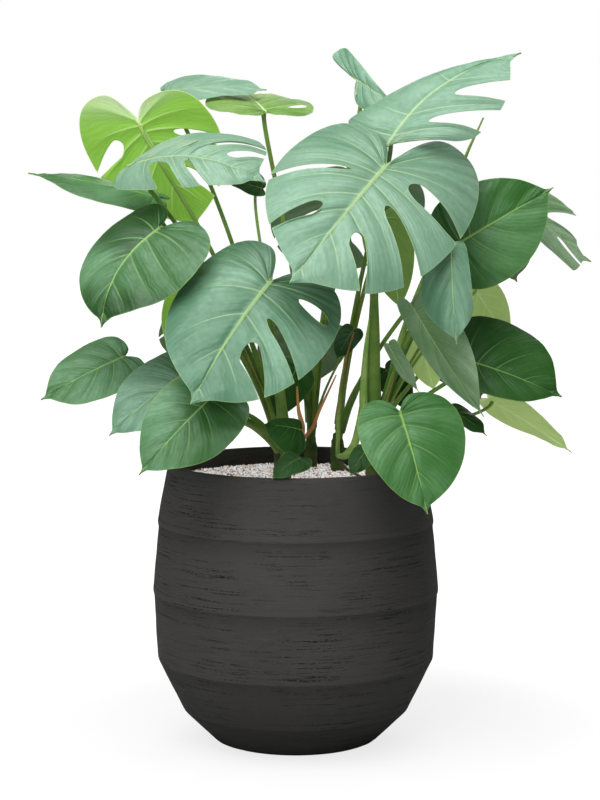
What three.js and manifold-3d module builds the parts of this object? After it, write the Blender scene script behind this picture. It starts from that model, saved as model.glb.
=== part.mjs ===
// Potted swiss cheese plant: a banded fibre-clay pot filled with soil and gravel, and six
// rooted crowns whose petioles carry large cut and heart-shaped leaves.
// Millimetres, +Z up. The origin is the middle of the pot's foot, on the floor; -Y is the front.
import * as THREE from 'three';
import { mergeVertices } from 'three/addons/utils/BufferGeometryUtils.js';
import Module from 'manifold-3d';

const wasm = await Module();
wasm.setup();

// Pot: radius and height of the foot, the four seams between its bands, and the rim
const POT_HEIGHT = 391;
const POT_OUTLINE = [[112, 0], [159, 48], [193, 117], [200, 211], [193, 308], [177, POT_HEIGHT]];
const SEAM_STEP = 1.6;
const RIM_WIDTH = 9;
const WALL = 11;
const POT_FLOOR = 16;
const POT_SIDES = 40;

// Soil and gravel
const GAP = 0.3;
const SOIL_TOP = 350;
const GRAVEL_TOP = 366;
const GRAVEL_GRAIN = 2.2;
const GRAVEL_RINGS = 8;

// Rooted stems: they stand in plain holes of the soil and the gravel
const ROOT_DEPTH = 60;
const STEM_SIDES = 8;
const STEM_RING = 2;
const RING_SPACING = 24;
const CROWNS = {
  left: { at: [-22, 36], radius: 10, height: 44 },
  front: { at: [-14, -46], radius: 10, height: 46 },
  middle: { at: [60, 96], radius: 12, height: 52 },
  right: { at: [108, 22], radius: 12, height: 50 },
  back: { at: [22, 138], radius: 11, height: 46 },
  back_left: { at: [-24, 112], radius: 9, height: 40 },
};

// Blades
const BLADE = 0.9;
const PETIOLE_SIDES = 6;
const PETIOLE_STEP = 65;
const PETIOLE_FOOT = 1.8;
const PETIOLE_JOINT = 1.2;

// Where along a half blade's edge, counted from the notch to the tip, the lobe is deepest,
// the blade is widest, and the side veins stop sharing the petiole's end
const LOBE_AT = 0.18;
const WIDE_AT = 0.44;
const FAN_TO = 0.2;
const VEIN_CROWDING = 2.4;
const DRIP_FROM = 0.92;

// Leaf colours
const SILVER = 0x9fc4ae;
const TEAL = 0x6f9f88;
const GREEN = 0x4f8a5c;
const DEEP = 0x2f5a38;
const BRIGHT = 0x4c9350;
const SAGE = 0x93a58a;
const LIME = 0x9fc24e;
const SHADE = 0x274a26;

const clamp = (x, low = 0, high = 1) => Math.min(high, Math.max(low, x));
const vec = (list) => new THREE.Vector3(...list);
const radians = THREE.MathUtils.degToRad;

const plant = new THREE.Group();

// Adds a named mesh of one finish to the plant
function addPiece(name, geometry, colour, roughness, parent = plant) {
  const material = new THREE.MeshStandardMaterial({ color: colour, roughness, metalness: 0 });
  const mesh = new THREE.Mesh(geometry, material);
  mesh.name = name;
  parent.add(mesh);
  return mesh;
}

// Solids for joining and cutting
function toSolid(geometry) {
  const bare = new THREE.BufferGeometry();
  bare.setAttribute('position', geometry.getAttribute('position').clone());
  if (geometry.index) bare.setIndex(geometry.index.clone());
  const welded = mergeVertices(bare, 1e-4);
  const triangles = [];
  const index = welded.index.array;
  for (let i = 0; i < index.length; i += 3) {
    const [a, b, c] = [index[i], index[i + 1], index[i + 2]];
    if (a !== b && b !== c && a !== c) triangles.push(a, b, c);
  }
  return new wasm.Manifold(new wasm.Mesh({
    numProp: 3,
    vertProperties: Float32Array.from(welded.getAttribute('position').array),
    triVerts: Uint32Array.from(triangles),
  }));
}

function toGeometry(solid) {
  const mesh = solid.getMesh();
  const geometry = new THREE.BufferGeometry();
  geometry.setAttribute('position', new THREE.BufferAttribute(new Float32Array(mesh.vertProperties), 3));
  geometry.setIndex(new THREE.BufferAttribute(new Uint32Array(mesh.triVerts), 1));
  return geometry;
}

// A turned solid from [radius, height] points that start and end on the axis
function turned(outline, sides) {
  const points = outline.map(([radius, height]) => new THREE.Vector2(radius, height));
  return new THREE.LatheGeometry(points, sides).rotateX(Math.PI / 2);
}

// A round bar along a curve, whose radius follows radiusAt from 0 to 1 along its length
function taperedBar(curve, radiusAt, sides, steps) {
  const section = new THREE.Shape();
  for (let i = 0; i < sides; i++) {
    const angle = (2 * Math.PI * i) / sides;
    const corner = [Math.cos(angle), Math.sin(angle)];
    if (i === 0) section.moveTo(...corner);
    else section.lineTo(...corner);
  }
  const bar = new THREE.ExtrudeGeometry(section, { steps, extrudePath: curve, bevelEnabled: false });
  const centres = curve.getSpacedPoints(steps);
  const position = bar.getAttribute('position');
  const point = new THREE.Vector3();
  for (let i = 0; i < position.count; i++) {
    point.fromBufferAttribute(position, i);
    let nearest = 0;
    for (let k = 1; k <= steps; k++) {
      if (point.distanceTo(centres[k]) < point.distanceTo(centres[nearest])) nearest = k;
    }
    point.sub(centres[nearest]).multiplyScalar(radiusAt(nearest / steps)).add(centres[nearest]);
    position.setXYZ(i, point.x, point.y, point.z);
  }
  return bar;
}

// Half blade's edge, from the notch at s = 0 to the tip at s = 1, as [across, along]
function edgeOf(leaf, half, s) {
  const { length } = leaf;
  const width = leaf.width[half];
  const lobe = leaf.lobe[half];
  const wideAt = leaf.wide[half] * length;
  const lobeAt = 0.46 * width;
  const drip = leaf.drip * length;
  const end = length - drip;
  let knots;
  let u;
  if (s <= LOBE_AT) {
    knots = [[0, 0], [0.1 * width, -0.85 * lobe], [0.5 * lobeAt, -lobe], [lobeAt, -lobe]];
    u = s / LOBE_AT;
  } else if (s <= WIDE_AT) {
    const side = [width, wideAt - 0.6 * (wideAt + lobe)];
    knots = [[lobeAt, -lobe], [lobeAt + 0.6 * (width - lobeAt), -lobe], side, [width, wideAt]];
    u = (s - LOBE_AT) / (WIDE_AT - LOBE_AT);
  } else {
    const shoulder = [width, wideAt + leaf.shoulder[half] * (length - wideAt)];
    knots = [[width, wideAt], shoulder, [leaf.blunt[half] * width, leaf.flank[half] * end], [0, end]];
    u = (s - WIDE_AT) / (1 - WIDE_AT);
  }
  const curve = new THREE.CubicBezierCurve(...knots.map(([x, y]) => new THREE.Vector2(x, y)));
  const point = curve.getPoint(u);
  point.y += drip * clamp((s - DRIP_FROM) / (1 - DRIP_FROM)) ** 2;
  return point;
}

// Flat half blade: side veins run at t = 0 from the midrib to the edge at t = 1, bowed to the tip
function flatPoint(leaf, half, s, t) {
  const edge = edgeOf(leaf, half, s);
  const start = leaf.length * clamp((s - FAN_TO) / (1 - FAN_TO)) ** leaf.crowding;
  const [dx, dy] = [edge.x, edge.y - start];
  const bow = 0.12 * clamp(s / 0.3) * clamp((1 - s) / 0.25);
  const middle = [edge.x / 2 + bow * dy, (start + edge.y) / 2 - bow * dx];
  const across = 2 * t * (1 - t) * middle[0] + t * t * edge.x;
  const along = (1 - t) ** 2 * start + 2 * t * (1 - t) * middle[1] + t * t * edge.y;
  return [across, along];
}

// Blade axes at rest: along the midrib, out of the upper face, and to the right
function bladeAxes(leaf) {
  const along = leaf.tip.clone().sub(leaf.base).normalize();
  const [azimuth, elevation] = leaf.face.map(radians);
  const facing = new THREE.Vector3(
    Math.sin(azimuth) * Math.cos(elevation),
    -Math.cos(azimuth) * Math.cos(elevation),
    Math.sin(elevation),
  );
  const up = facing.addScaledVector(along, -facing.dot(along)).normalize();
  return { along, up, right: along.clone().cross(up) };
}

// The flat point carried onto the arched midrib, folded and curled to its side
function bladePoint(leaf, half, s, t, lobeIndex) {
  const [across, along] = flatPoint(leaf, half, s, t);
  const { up, right } = leaf.axes;
  const side = half === 0 ? 1 : -1;
  const width = leaf.width[half];
  const u = along / leaf.length;
  const reach = Math.max(u, 0);
  const middle = leaf.base.clone().add(leaf.tip).multiplyScalar(0.5);
  middle.addScaledVector(up, leaf.arch).addScaledVector(right, leaf.sweep);
  const rib = new THREE.QuadraticBezierCurve3(leaf.base, middle, leaf.tip);
  const tangent = middle.clone().sub(leaf.base).multiplyScalar(1 - reach);
  tangent.addScaledVector(leaf.tip.clone().sub(middle), reach).normalize();
  const point = rib.getPoint(reach).addScaledVector(tangent, Math.min(along, 0));
  const across0 = right.clone().addScaledVector(tangent, -tangent.dot(right)).normalize();
  const up0 = across0.clone().cross(tangent);
  const turn = radians(leaf.twist) * u;
  const sideways = across0.clone().multiplyScalar(Math.cos(turn)).addScaledVector(up0, Math.sin(turn));
  const outward = up0.clone().multiplyScalar(Math.cos(turn)).addScaledVector(across0, -Math.sin(turn));
  const fold = radians(leaf.fold[half]);
  const bendRadius = width / radians(leaf.curl[half]);
  const angle = fold + across / bendRadius;
  let lift = bendRadius * (Math.cos(fold) - Math.cos(angle));
  lift += leaf.rise[half] * (Math.min(along, 0) / Math.max(leaf.lobe[half], 1)) ** 2;
  const spread = clamp(across / (0.5 * width));
  lift += leaf.wave * spread * t ** 3 * Math.sin(5 * Math.PI * s + 1.7 * side + 0.02 * leaf.base.x);
  const hang = spread * clamp((t - leaf.opens[half]) / (1 - leaf.opens[half])) ** 2;
  lift -= leaf.droop * (1 + 0.5 * Math.sin(2.4 * lobeIndex + 3 * half)) * hang;
  point.addScaledVector(sideways, side * bendRadius * (Math.sin(angle) - Math.sin(fold)));
  return point.addScaledVector(outward, lift);
}

// Half the width of a cut, in s, at t. A cut is [s, where it starts, where it ends, half width, closing]
function cutWidth([, start, end, width, closing = 0.5], t) {
  if (t <= start || (end < 1 && t >= end)) return 0;
  if (end < 1) {
    const x = (2 * (t - start)) / (end - start) - 1;
    return width * Math.sqrt(1 - x * x);
  }
  const x = clamp((t - start) / 0.16);
  const closed = closing * clamp((t - start - 0.1) / (0.9 - start));
  return width * Math.sqrt(1 - (1 - x) ** 2) * (1 - closed);
}

// Rows along the veins: every cut's start, round end and finish, and an even fill between them
function rowsOf(cuts, density) {
  const keys = new Set([0, 1]);
  for (const [, start, end] of cuts) {
    keys.add(start);
    keys.add(Math.min(end, 1));
    if (end >= 1) keys.add(Math.min(start + 0.16, 0.98));
    else keys.add((start + end) / 2);
  }
  const sorted = [...keys].sort((a, b) => a - b);
  const rows = [0];
  for (let i = 1; i < sorted.length; i++) {
    const [low, high] = [sorted[i - 1], sorted[i]];
    const fill = Math.max(1, Math.round((high - low) * density));
    for (let k = 1; k <= fill; k++) rows.push(low + ((high - low) * k) / fill);
  }
  return rows;
}

// One face of the blade as welded points and triangles, seen from its upper side
function bladeSheet(leaf) {
  const points = [];
  const triangles = [];
  const seen = new Map();
  const weld = (point) => {
    const key = [point.x, point.y, point.z].map((value) => Math.round(value * 500)).join(' ');
    if (!seen.has(key)) {
      seen.set(key, points.length);
      points.push(point);
    }
    return seen.get(key);
  };
  const starts = leaf.cuts.flat().map((cut) => cut[0]);
  const bounds = [...new Set([0, DRIP_FROM, 1, ...starts])].sort((a, b) => a - b);
  for (const half of [0, 1]) {
    const rows = rowsOf(leaf.cuts[half], leaf.rows);
    const cutAt = (s) => leaf.cuts[half].find((cut) => cut[0] === s);
    let lobeIndex = 0;
    for (let j = 1; j < bounds.length; j++) {
      const [low, high] = [bounds[j - 1], bounds[j]];
      const [before, after] = [cutAt(low), cutAt(high)];
      if (before) lobeIndex += 1;
      const columns = Math.max(1, Math.round((high - low) * leaf.veins));
      const grid = rows.map((t) => {
        const from = low + (before ? cutWidth(before, t) : 0);
        const to = high - (after ? cutWidth(after, t) : 0);
        return Array.from({ length: columns + 1 }, (_, i) => {
          const s = from + ((to - from) * i) / columns;
          return weld(bladePoint(leaf, half, s, t, lobeIndex));
        });
      });
      // The strip along the notch has no width, so the blade starts at the next side vein
      const first = low === 0 ? 2 : 1;
      for (let r = 1; r < rows.length; r++) {
        for (let c = first; c <= columns; c++) {
          const corners = [grid[r - 1][c - 1], grid[r - 1][c], grid[r][c], grid[r][c - 1]];
          if (half === 0) corners.reverse();
          for (const face of [[0, 1, 2], [0, 2, 3]]) {
            const [a, b, d] = face.map((i) => corners[i]);
            if (a !== b && b !== d && a !== d) triangles.push([a, b, d]);
          }
        }
      }
    }
  }
  return { points, triangles };
}

// A closed blade: the sheet moved half its thickness to both sides, with walls along every edge
function bladeGeometry(leaf) {
  const { points, triangles } = bladeSheet(leaf);
  const normals = points.map(() => new THREE.Vector3());
  const edges = new Map();
  for (const [a, b, c] of triangles) {
    const normal = points[b].clone().sub(points[a]).cross(points[c].clone().sub(points[a]));
    for (const i of [a, b, c]) normals[i].add(normal);
    for (const [from, to] of [[a, b], [b, c], [c, a]]) {
      if (edges.has(`${to} ${from}`)) edges.delete(`${to} ${from}`);
      else edges.set(`${from} ${to}`, [from, to]);
    }
  }
  const position = [];
  for (const side of [0.5, -0.5]) {
    points.forEach((point, i) => {
      const offset = normals[i].clone().normalize().multiplyScalar(side * BLADE);
      position.push(...point.clone().add(offset).toArray());
    });
  }
  const under = points.length;
  const index = [];
  for (const [a, b, c] of triangles) index.push(a, b, c, under + a, under + c, under + b);
  for (const [from, to] of edges.values()) {
    index.push(to, from, under + from, to, under + from, under + to);
  }
  const geometry = new THREE.BufferGeometry();
  geometry.setAttribute('position', new THREE.Float32BufferAttribute(position, 3));
  geometry.setIndex(index);
  return geometry;
}

const leaves = [];

// Records a leaf: its crown, colour, midrib from petiole to tip, the way its upper face looks as
// [azimuth from the front, elevation], and the half widths of its right and left side
function leaf(name, crown, colour, base, tip, face, width, shape = {}) {
  const entry = {
    name,
    crown,
    colour,
    face,
    width,
    lobe: [16, 16],
    fold: [6, 6],
    curl: [-14, -14],
    wide: [0.2, 0.2],
    shoulder: [0.62, 0.62],
    blunt: [0.15, 0.15],
    flank: [0.96, 0.96],
    rise: [0, 0],
    crowding: VEIN_CROWDING,
    drip: 0.06,
    arch: 8,
    sweep: 0,
    droop: 0,
    twist: 0,
    wave: 2,
    veins: 7,
    rows: 3,
    cuts: [[], []],
    petiole: 4.5,
    rooted: 0.7,
    climb: 0.55,
    lean: 0.2,
    hook: 34,
    ...shape,
    base: vec(base),
    tip: vec(tip),
  };
  entry.length = entry.base.distanceTo(entry.tip);
  entry.axes = bladeAxes(entry);
  entry.opens = entry.cuts.map((cuts) => {
    const slits = cuts.filter((cut) => cut[2] >= 1);
    return slits.length ? Math.max(...slits.map((cut) => cut[1])) : 0.45;
  });
  leaves.push(entry);
}

// Front leaves
leaf('leaf_front_large', 'right', SILVER, [120, -60, 799], [-8, -190, 648], [18, 38], [132, 142], {
  lobe: [54, 106], fold: [2, 8], curl: [-36, -18], arch: 16, shoulder: [0.6, 0.58], blunt: [0.1, 0.5],
  droop: 8, veins: 9, rows: 5, petiole: 7,
  cuts: [
    [[0.52, 0.24, 1, 0.012, 0.2], [0.72, 0.36, 1, 0.03, 0.6]],
    [[0.425, 0.3, 1, 0.034, 0.8], [0.6, 0.26, 1, 0.028, 0], [0.77, 0.28, 1, 0.03, 0.7]],
  ],
});
leaf('leaf_front_left', 'front', TEAL, [-35, -110, 645], [-135, -225, 494], [8, 34], [110, 118], {
  lobe: [58, 46], fold: [2, 6], curl: [-44, -14], arch: 14, sweep: 8, shoulder: [0.62, 0.6],
  blunt: [0.15, 0.6], veins: 8, rows: 5, petiole: 5.5,
  cuts: [[], [[0.39, 0.4, 0.86, 0.024], [0.6, 0.24, 1, 0.022, 0.6], [0.75, 0.28, 1, 0.05, 0.8]]],
});
leaf('leaf_low_left_front', 'left', GREEN, [-111, -160, 496], [-203, -205, 400], [0, 40], [58, 66], {
  lobe: [20, 28], curl: [-12, -16], arch: 12, wave: 3, veins: 9,
});
leaf('leaf_low_right_front', 'right', BRIGHT, [138, -160, 476], [171, -215, 350], [12, 36], [64, 80], {
  lobe: [22, 26], curl: [-14, -16], arch: 12, blunt: [0.25, 0.2], wave: 3, veins: 9,
});
leaf('leaf_small_front', 'front', DEEP, [6, -90, 446], [-45, -100, 454], [0, 30], [14, 40], {
  lobe: [4, 8], veins: 5, rows: 2, petiole: 3,
});
leaf('leaf_rim_front', 'front', SHADE, [6, -150, 415], [-31, -178, 390], [0, 50], [18, 22], {
  lobe: [4, 8], veins: 5, rows: 2, petiole: 2.5,
});
leaf('leaf_rim_right', 'right', SHADE, [95, -120, 422], [73, -140, 390], [0, 40], [16, 18], {
  lobe: [4, 8], veins: 5, rows: 2, petiole: 2.5,
});

// Left leaves
leaf('leaf_left_heart', 'left', DEEP, [-186, -60, 715], [-257, -130, 587], [-18, 36], [66, 102], {
  lobe: [30, 44], fold: [4, 8], curl: [-22, -20], arch: 14, sweep: 36, shoulder: [0.62, 0.85],
  blunt: [0.2, 0.4], veins: 6, rows: 4,
});
leaf('leaf_far_left_heart', 'left', GREEN, [-238, -10, 538], [-347, -60, 483], [-15, 45], [52, 60], {
  curl: [-10, -14], blunt: [0.2, 0.35], shoulder: [0.6, 0.7], petiole: 3.5,
});
leaf('leaf_low_left_grey', 'left', TEAL, [-153, -70, 520], [-250, -110, 440], [-12, 40], [54, 52], {
  lobe: [24, 20], blunt: [0.2, 0.3], arch: 10, wave: 3, petiole: 3.5,
});
leaf('leaf_far_left', 'left', SAGE, [-193, 44, 757], [-370, 14, 790], [-10, 66], [56, 42], {
  lobe: [20, 14], fold: [-10, -6], curl: [-14, -24], arch: 10,
});
leaf('leaf_left_fingered', 'left', SILVER, [-231, -10, 799], [-42, -75, 778], [8, 58], [54, 92], {
  lobe: [16, -95], fold: [-6, 16], curl: [-40, -44], arch: 56, wide: [0.3, 0.75], shoulder: [0.62, 0.8],
  blunt: [0.5, 0.5], crowding: 1.4, veins: 8, rows: 5,
  cuts: [
    [[0.49, 0.2, 1, 0.05, 0], [0.65, 0.2, 1, 0.03, 0]],
    [[0.66, 0.3, 1, 0.03, 0], [0.8, 0.25, 1, 0.03, 0]],
  ],
});
leaf('leaf_lime_left', 'back_left', LIME, [-221, 85, 863], [-141, 135, 711], [165, 15], [110, 92], {
  lobe: [30, 60], fold: [-4, -4], curl: [-10, -10], arch: 6, shoulder: [0.6, 0.6], veins: 7, rows: 4,
  cuts: [
    [[0.52, 0.35, 1, 0.022, 0], [0.74, 0.35, 1, 0.03, 0.2]],
    [[0.46, 0.4, 1, 0.045, 0.8], [0.66, 0.4, 1, 0.035]],
  ],
});
leaf('leaf_top_left', 'back', LIME, [-43, 60, 877], [-75, 190, 905], [180, 76], [74, 78], {
  lobe: [30, 30], fold: [12, 4], curl: [-14, -14], arch: 6, blunt: [0.3, 0.3], veins: 7,
  cuts: [[[0.4, 0.45, 0.85, 0.03]], []],
});
leaf('leaf_top_pale', 'back_left', SILVER, [-188, 135, 907], [-42, 125, 909], [0, 66], [46, 48], {
  lobe: [6, 8], arch: 14, blunt: [0.6, 0.3],
});
leaf('leaf_lime_behind', 'back_left', LIME, [-117, 76, 622], [-170, 74, 516], [190, 8], [64, 60], {
  lobe: [20, 20],
});
leaf('leaf_cup_small', 'front', SHADE, [-47, 20, 770], [-96, 10, 779], [0, 30], [22, 14], {
  lobe: [6, 6], veins: 5, rows: 2, petiole: 3,
});

// Right leaves
leaf('leaf_right_high', 'right', BRIGHT, [225, 10, 694], [358, 30, 771], [20, 22], [78, 66], {
  lobe: [30, 22], veins: 6, rows: 5,
});
leaf('leaf_right_low', 'right', DEEP, [235, 0, 533], [367, -20, 483], [25, 40], [50, 98], {
  lobe: [20, 32], curl: [-20, -14], arch: 10, shoulder: [0.6, 0.66], blunt: [0.3, 0.3], veins: 6, rows: 5,
});
leaf('leaf_right_pale', 'right', SAGE, [271, 30, 475], [390, 40, 398], [150, 50], [36, 36], {
  lobe: [8, 8], fold: [10, 10], arch: 6, petiole: 3.5,
});
leaf('leaf_right_small', 'right', DEEP, [214, -12, 464], [263, -34, 431], [20, 60], [22, 22], {
  lobe: [8, 8], veins: 5, rows: 2, petiole: 3,
});
leaf('leaf_right_hanging', 'middle', GREEN, [209, -92, 697], [214, -135, 565], [-30, 20], [48, 28], {
  lobe: [4, 4], fold: [8, -20], curl: [-30, -40], wide: [0.45, 0.5], shoulder: [0.5, 0.7],
  arch: 10, wave: 3, veins: 8,
});
leaf('leaf_right_folded', 'right', SAGE, [160, -36, 610], [256, -76, 462], [-50, 20], [26, 50], {
  lobe: [20, 10], fold: [10, 10], curl: [-20, -20],
});
leaf('leaf_top_right', 'middle', SILVER, [125, -20, 828], [311, 20, 955], [-5, 45], [90, 82], {
  lobe: [-42, -10], fold: [4, 4], curl: [-28, -14], arch: 14, sweep: -54, wide: [0.45, 0.08], droop: 6,
  shoulder: [0.85, 0.03], blunt: [0.3, 0.22], flank: [0.96, 0.5], veins: 8, rows: 5,
  cuts: [[[0.53, 0.3, 1, 0.03, -1.4], [0.73, 0.34, 1, 0.03, -1.2]], []],
});
leaf('leaf_top_middle', 'back', SILVER, [86, 80, 922], [143, 40, 884], [-30, 20], [30, 30], {
  lobe: [-15, 58], fold: [8, 8], curl: [-10, -10], wide: [0.4, -0.55], shoulder: [0.4, 0.1],
  flank: [0.96, 0.55], arch: 4,
});
leaf('leaf_far_right', 'right', SAGE, [291, 90, 761], [421, 100, 665], [20, 40], [32, 68], {
  lobe: [-70, -20], fold: [0, 0], curl: [-16, -10], wide: [0.8, 0.5], shoulder: [0.9, 0.8],
  blunt: [0.8, 0.05], flank: [0.96, 0.7], rows: 4,
  cuts: [[[0.84, 0.12, 1, 0.02, 0]], [[0.7, 0.3, 1, 0.04, -2.2]]],
});
leaf('leaf_lime_right', 'right', LIME, [255, 110, 629], [306, 110, 546], [165, 30], [34, 34], {
  lobe: [10, 8], petiole: 3,
});
leaf('leaf_lime_middle', 'right', LIME, [178, 95, 557], [199, 95, 479], [190, 30], [30, 26], {
  lobe: [8, 8], veins: 5, rows: 2, petiole: 3,
});
leaf('leaf_dark_behind', 'middle', SHADE, [124, 60, 733], [148, 60, 596], [180, 10], [36, 36], {
  lobe: [8, 8],
});
leaf('leaf_dark_low', 'right', SHADE, [129, 104, 511], [165, 104, 450], [20, 30], [26, 30], {
  lobe: [8, 8], veins: 5, rows: 2, petiole: 3,
});
leaf('leaf_grey_narrow', 'right', SAGE, [129, -8, 555], [171, -18, 490], [-50, 20], [10, 16], {
  lobe: [4, 4], veins: 5, rows: 2, petiole: 2.5,
});
leaf('leaf_inner_left', 'back', DEEP, [2, 80, 515], [-38, 76, 440], [-10, 30], [34, 34], {
  lobe: [8, 8], veins: 5, rows: 2, petiole: 3,
});
leaf('leaf_inner_middle', 'back', SHADE, [80, 34, 571], [57, 20, 532], [-10, 30], [18, 18], {
  lobe: [8, 8], veins: 5, rows: 2, petiole: 2.5,
});

// Back leaves, on the side that the front view hides
leaf('leaf_back_high', 'back', TEAL, [85, 175, 765], [50, 320, 635], [188, 40], [110, 116], {
  lobe: [60, 70], curl: [-18, -22], arch: 16, blunt: [0.4, 0.4], rows: 4, droop: 8, petiole: 5,
  cuts: [
    [[0.45, 0.36, 1, 0.03, 0.6], [0.62, 0.3, 1, 0.03, 0.3], [0.78, 0.3, 1, 0.03, 0.6]],
    [[0.45, 0.42, 0.86, 0.024], [0.62, 0.3, 1, 0.03, 0.5], [0.78, 0.3, 1, 0.03, 0.6]],
  ],
});
leaf('leaf_back_left', 'back_left', GREEN, [-100, 168, 605], [-170, 288, 495], [205, 40], [80, 84], {
  lobe: [34, 36], curl: [-14, -16], arch: 12, blunt: [0.3, 0.3], veins: 6, rows: 5,
  cuts: [[[0.62, 0.34, 1, 0.03, 0.5]], [[0.62, 0.4, 1, 0.03, 0.6]]],
});
leaf('leaf_back_right', 'right', TEAL, [240, 150, 720], [330, 240, 630], [150, 40], [76, 80], {
  lobe: [34, 36], curl: [-14, -16], arch: 12, blunt: [0.3, 0.3], veins: 6, rows: 5,
  cuts: [[[0.6, 0.34, 1, 0.03, 0.5]], [[0.6, 0.4, 0.9, 0.024]]],
});
leaf('leaf_back_low_right', 'right', DEEP, [200, 150, 540], [280, 250, 450], [150, 40], [62, 64], {
  lobe: [24, 24], arch: 10, blunt: [0.2, 0.2],
});
leaf('leaf_back_low_left', 'back_left', DEEP, [-130, 130, 500], [-210, 220, 420], [215, 40], [58, 60], {
  lobe: [22, 24], arch: 10, blunt: [0.2, 0.2],
});
leaf('leaf_back_far_left', 'back_left', GREEN, [-190, 110, 690], [-270, 190, 590], [220, 40], [64, 66], {
  lobe: [26, 28], arch: 10, blunt: [0.2, 0.2],
});
leaf('leaf_back_middle', 'back', GREEN, [20, 190, 560], [-10, 300, 450], [185, 40], [66, 70], {
  lobe: [26, 28], arch: 12, blunt: [0.2, 0.2],
});

// The blade's own axes where the petiole meets it, just inside the notch
function bladeSeat(entry) {
  const { up, right } = entry.axes;
  const middle = entry.base.clone().add(entry.tip).multiplyScalar(0.5);
  middle.addScaledVector(up, entry.arch).addScaledVector(right, entry.sweep);
  const along = middle.sub(entry.base).normalize();
  const across = right.clone().addScaledVector(along, -along.dot(right)).normalize();
  const outward = across.cross(along);
  const tip = entry.petiole * PETIOLE_JOINT;
  const slopes = [0, 1].map((half) => entry.fold[half] + (entry.curl[half] * tip) / entry.width[half]);
  const sag = tip * Math.max(0, ...slopes.map((slope) => -Math.sin(radians(slope))));
  const seat = entry.base.clone().addScaledVector(along, tip + 2);
  seat.addScaledVector(outward, -(BLADE / 2 + 2 * GAP + sag));
  return { seat, outward };
}

// A petiole leaves the stem upright, leans out, and hooks forward to meet its blade from below
function petioleCurve(entry) {
  const crown = CROWNS[entry.crown];
  const { seat, outward } = bladeSeat(entry);
  const foot = new THREE.Vector3(...crown.at, GRAVEL_TOP + crown.height * entry.rooted);
  const rise = new THREE.Vector3(
    foot.x + (seat.x - foot.x) * entry.lean,
    foot.y + (seat.y - foot.y) * entry.lean,
    foot.z + Math.max(seat.z - foot.z, 40) * entry.climb,
  );
  const hook = seat.clone().addScaledVector(outward, -entry.hook);
  return new THREE.CubicBezierCurve3(foot, rise, hook, seat);
}

// Stem thickness along a petiole: a clasping foot, a slim middle and a swollen joint at the blade
function petioleRadius(entry) {
  const foot = entry.petiole * (PETIOLE_FOOT - 1);
  const joint = entry.petiole * (PETIOLE_JOINT - 1);
  return (u) => entry.petiole + foot * (1 - clamp(u / 0.45)) ** 2 + joint * clamp((u - 0.85) / 0.15);
}

function petioleSolid(entry) {
  const curve = petioleCurve(entry);
  const steps = Math.round(curve.getLength() / PETIOLE_STEP) + 2;
  return toSolid(taperedBar(curve, petioleRadius(entry), PETIOLE_SIDES, steps));
}

// A short ringed stem, plain below the gravel's surface
function stemSolid({ at, radius, height }) {
  const outline = [[0, GRAVEL_TOP - ROOT_DEPTH], [radius, GRAVEL_TOP - ROOT_DEPTH]];
  for (let z = GRAVEL_TOP + 6; z < GRAVEL_TOP + height - 8; z += RING_SPACING) {
    outline.push([radius, z], [radius + STEM_RING, z + 2], [radius, z + 5]);
  }
  outline.push([radius * 0.8, GRAVEL_TOP + height], [0, GRAVEL_TOP + height + 3]);
  return toSolid(turned(outline, STEM_SIDES).translate(...at, 0));
}

// The plain hole that a stem stands in
function stemHole({ at, radius }) {
  const wide = radius + GAP / Math.cos(Math.PI / STEM_SIDES);
  const bottom = GRAVEL_TOP - ROOT_DEPTH - GAP;
  const outline = [[0, bottom], [wide, bottom], [wide, POT_HEIGHT], [0, POT_HEIGHT]];
  return toSolid(turned(outline, STEM_SIDES).translate(...at, 0));
}

// Pot: a turned shell with soft ledges at its seams, open at the top
function potGeometry() {
  const [foot, ...bands] = POT_OUTLINE;
  const outside = [[0, 0], foot];
  for (const [radius, height] of bands.slice(0, -1)) {
    outside.push([radius - SEAM_STEP, height - 4], [radius, height]);
  }
  const [rimRadius, rimHeight] = POT_OUTLINE.at(-1);
  outside.push([rimRadius, rimHeight], [rimRadius - RIM_WIDTH, rimHeight]);
  return turned([...outside, ...innerWall(0)], POT_SIDES);
}

// The pot's inner wall from below the rim to the floor's middle, moved in by a clearance
function innerWall(clearance) {
  const points = [];
  for (const [radius, height] of POT_OUTLINE.slice(2, -1).reverse()) {
    points.push([radius - WALL - clearance, height]);
  }
  const [radius, height] = POT_OUTLINE[1];
  points.push([radius - WALL - clearance, height + 8]);
  points.push([POT_OUTLINE[0][0] - clearance, POT_FLOOR + clearance], [0, POT_FLOOR + clearance]);
  return points;
}

// Inner radius of the pot at a height above its widest seam
function innerRadius(height) {
  const [low, high] = [POT_OUTLINE.at(-2), POT_OUTLINE.at(-1)];
  const u = (height - low[1]) / (high[1] - low[1]);
  return THREE.MathUtils.lerp(low[0] - WALL, high[0] - RIM_WIDTH, u);
}

function soilGeometry(holes) {
  const outline = [...innerWall(GAP).reverse(), [innerRadius(SOIL_TOP) - GAP, SOIL_TOP], [0, SOIL_TOP]];
  return toGeometry(toSolid(turned(outline, POT_SIDES)).subtract(holes));
}

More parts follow.
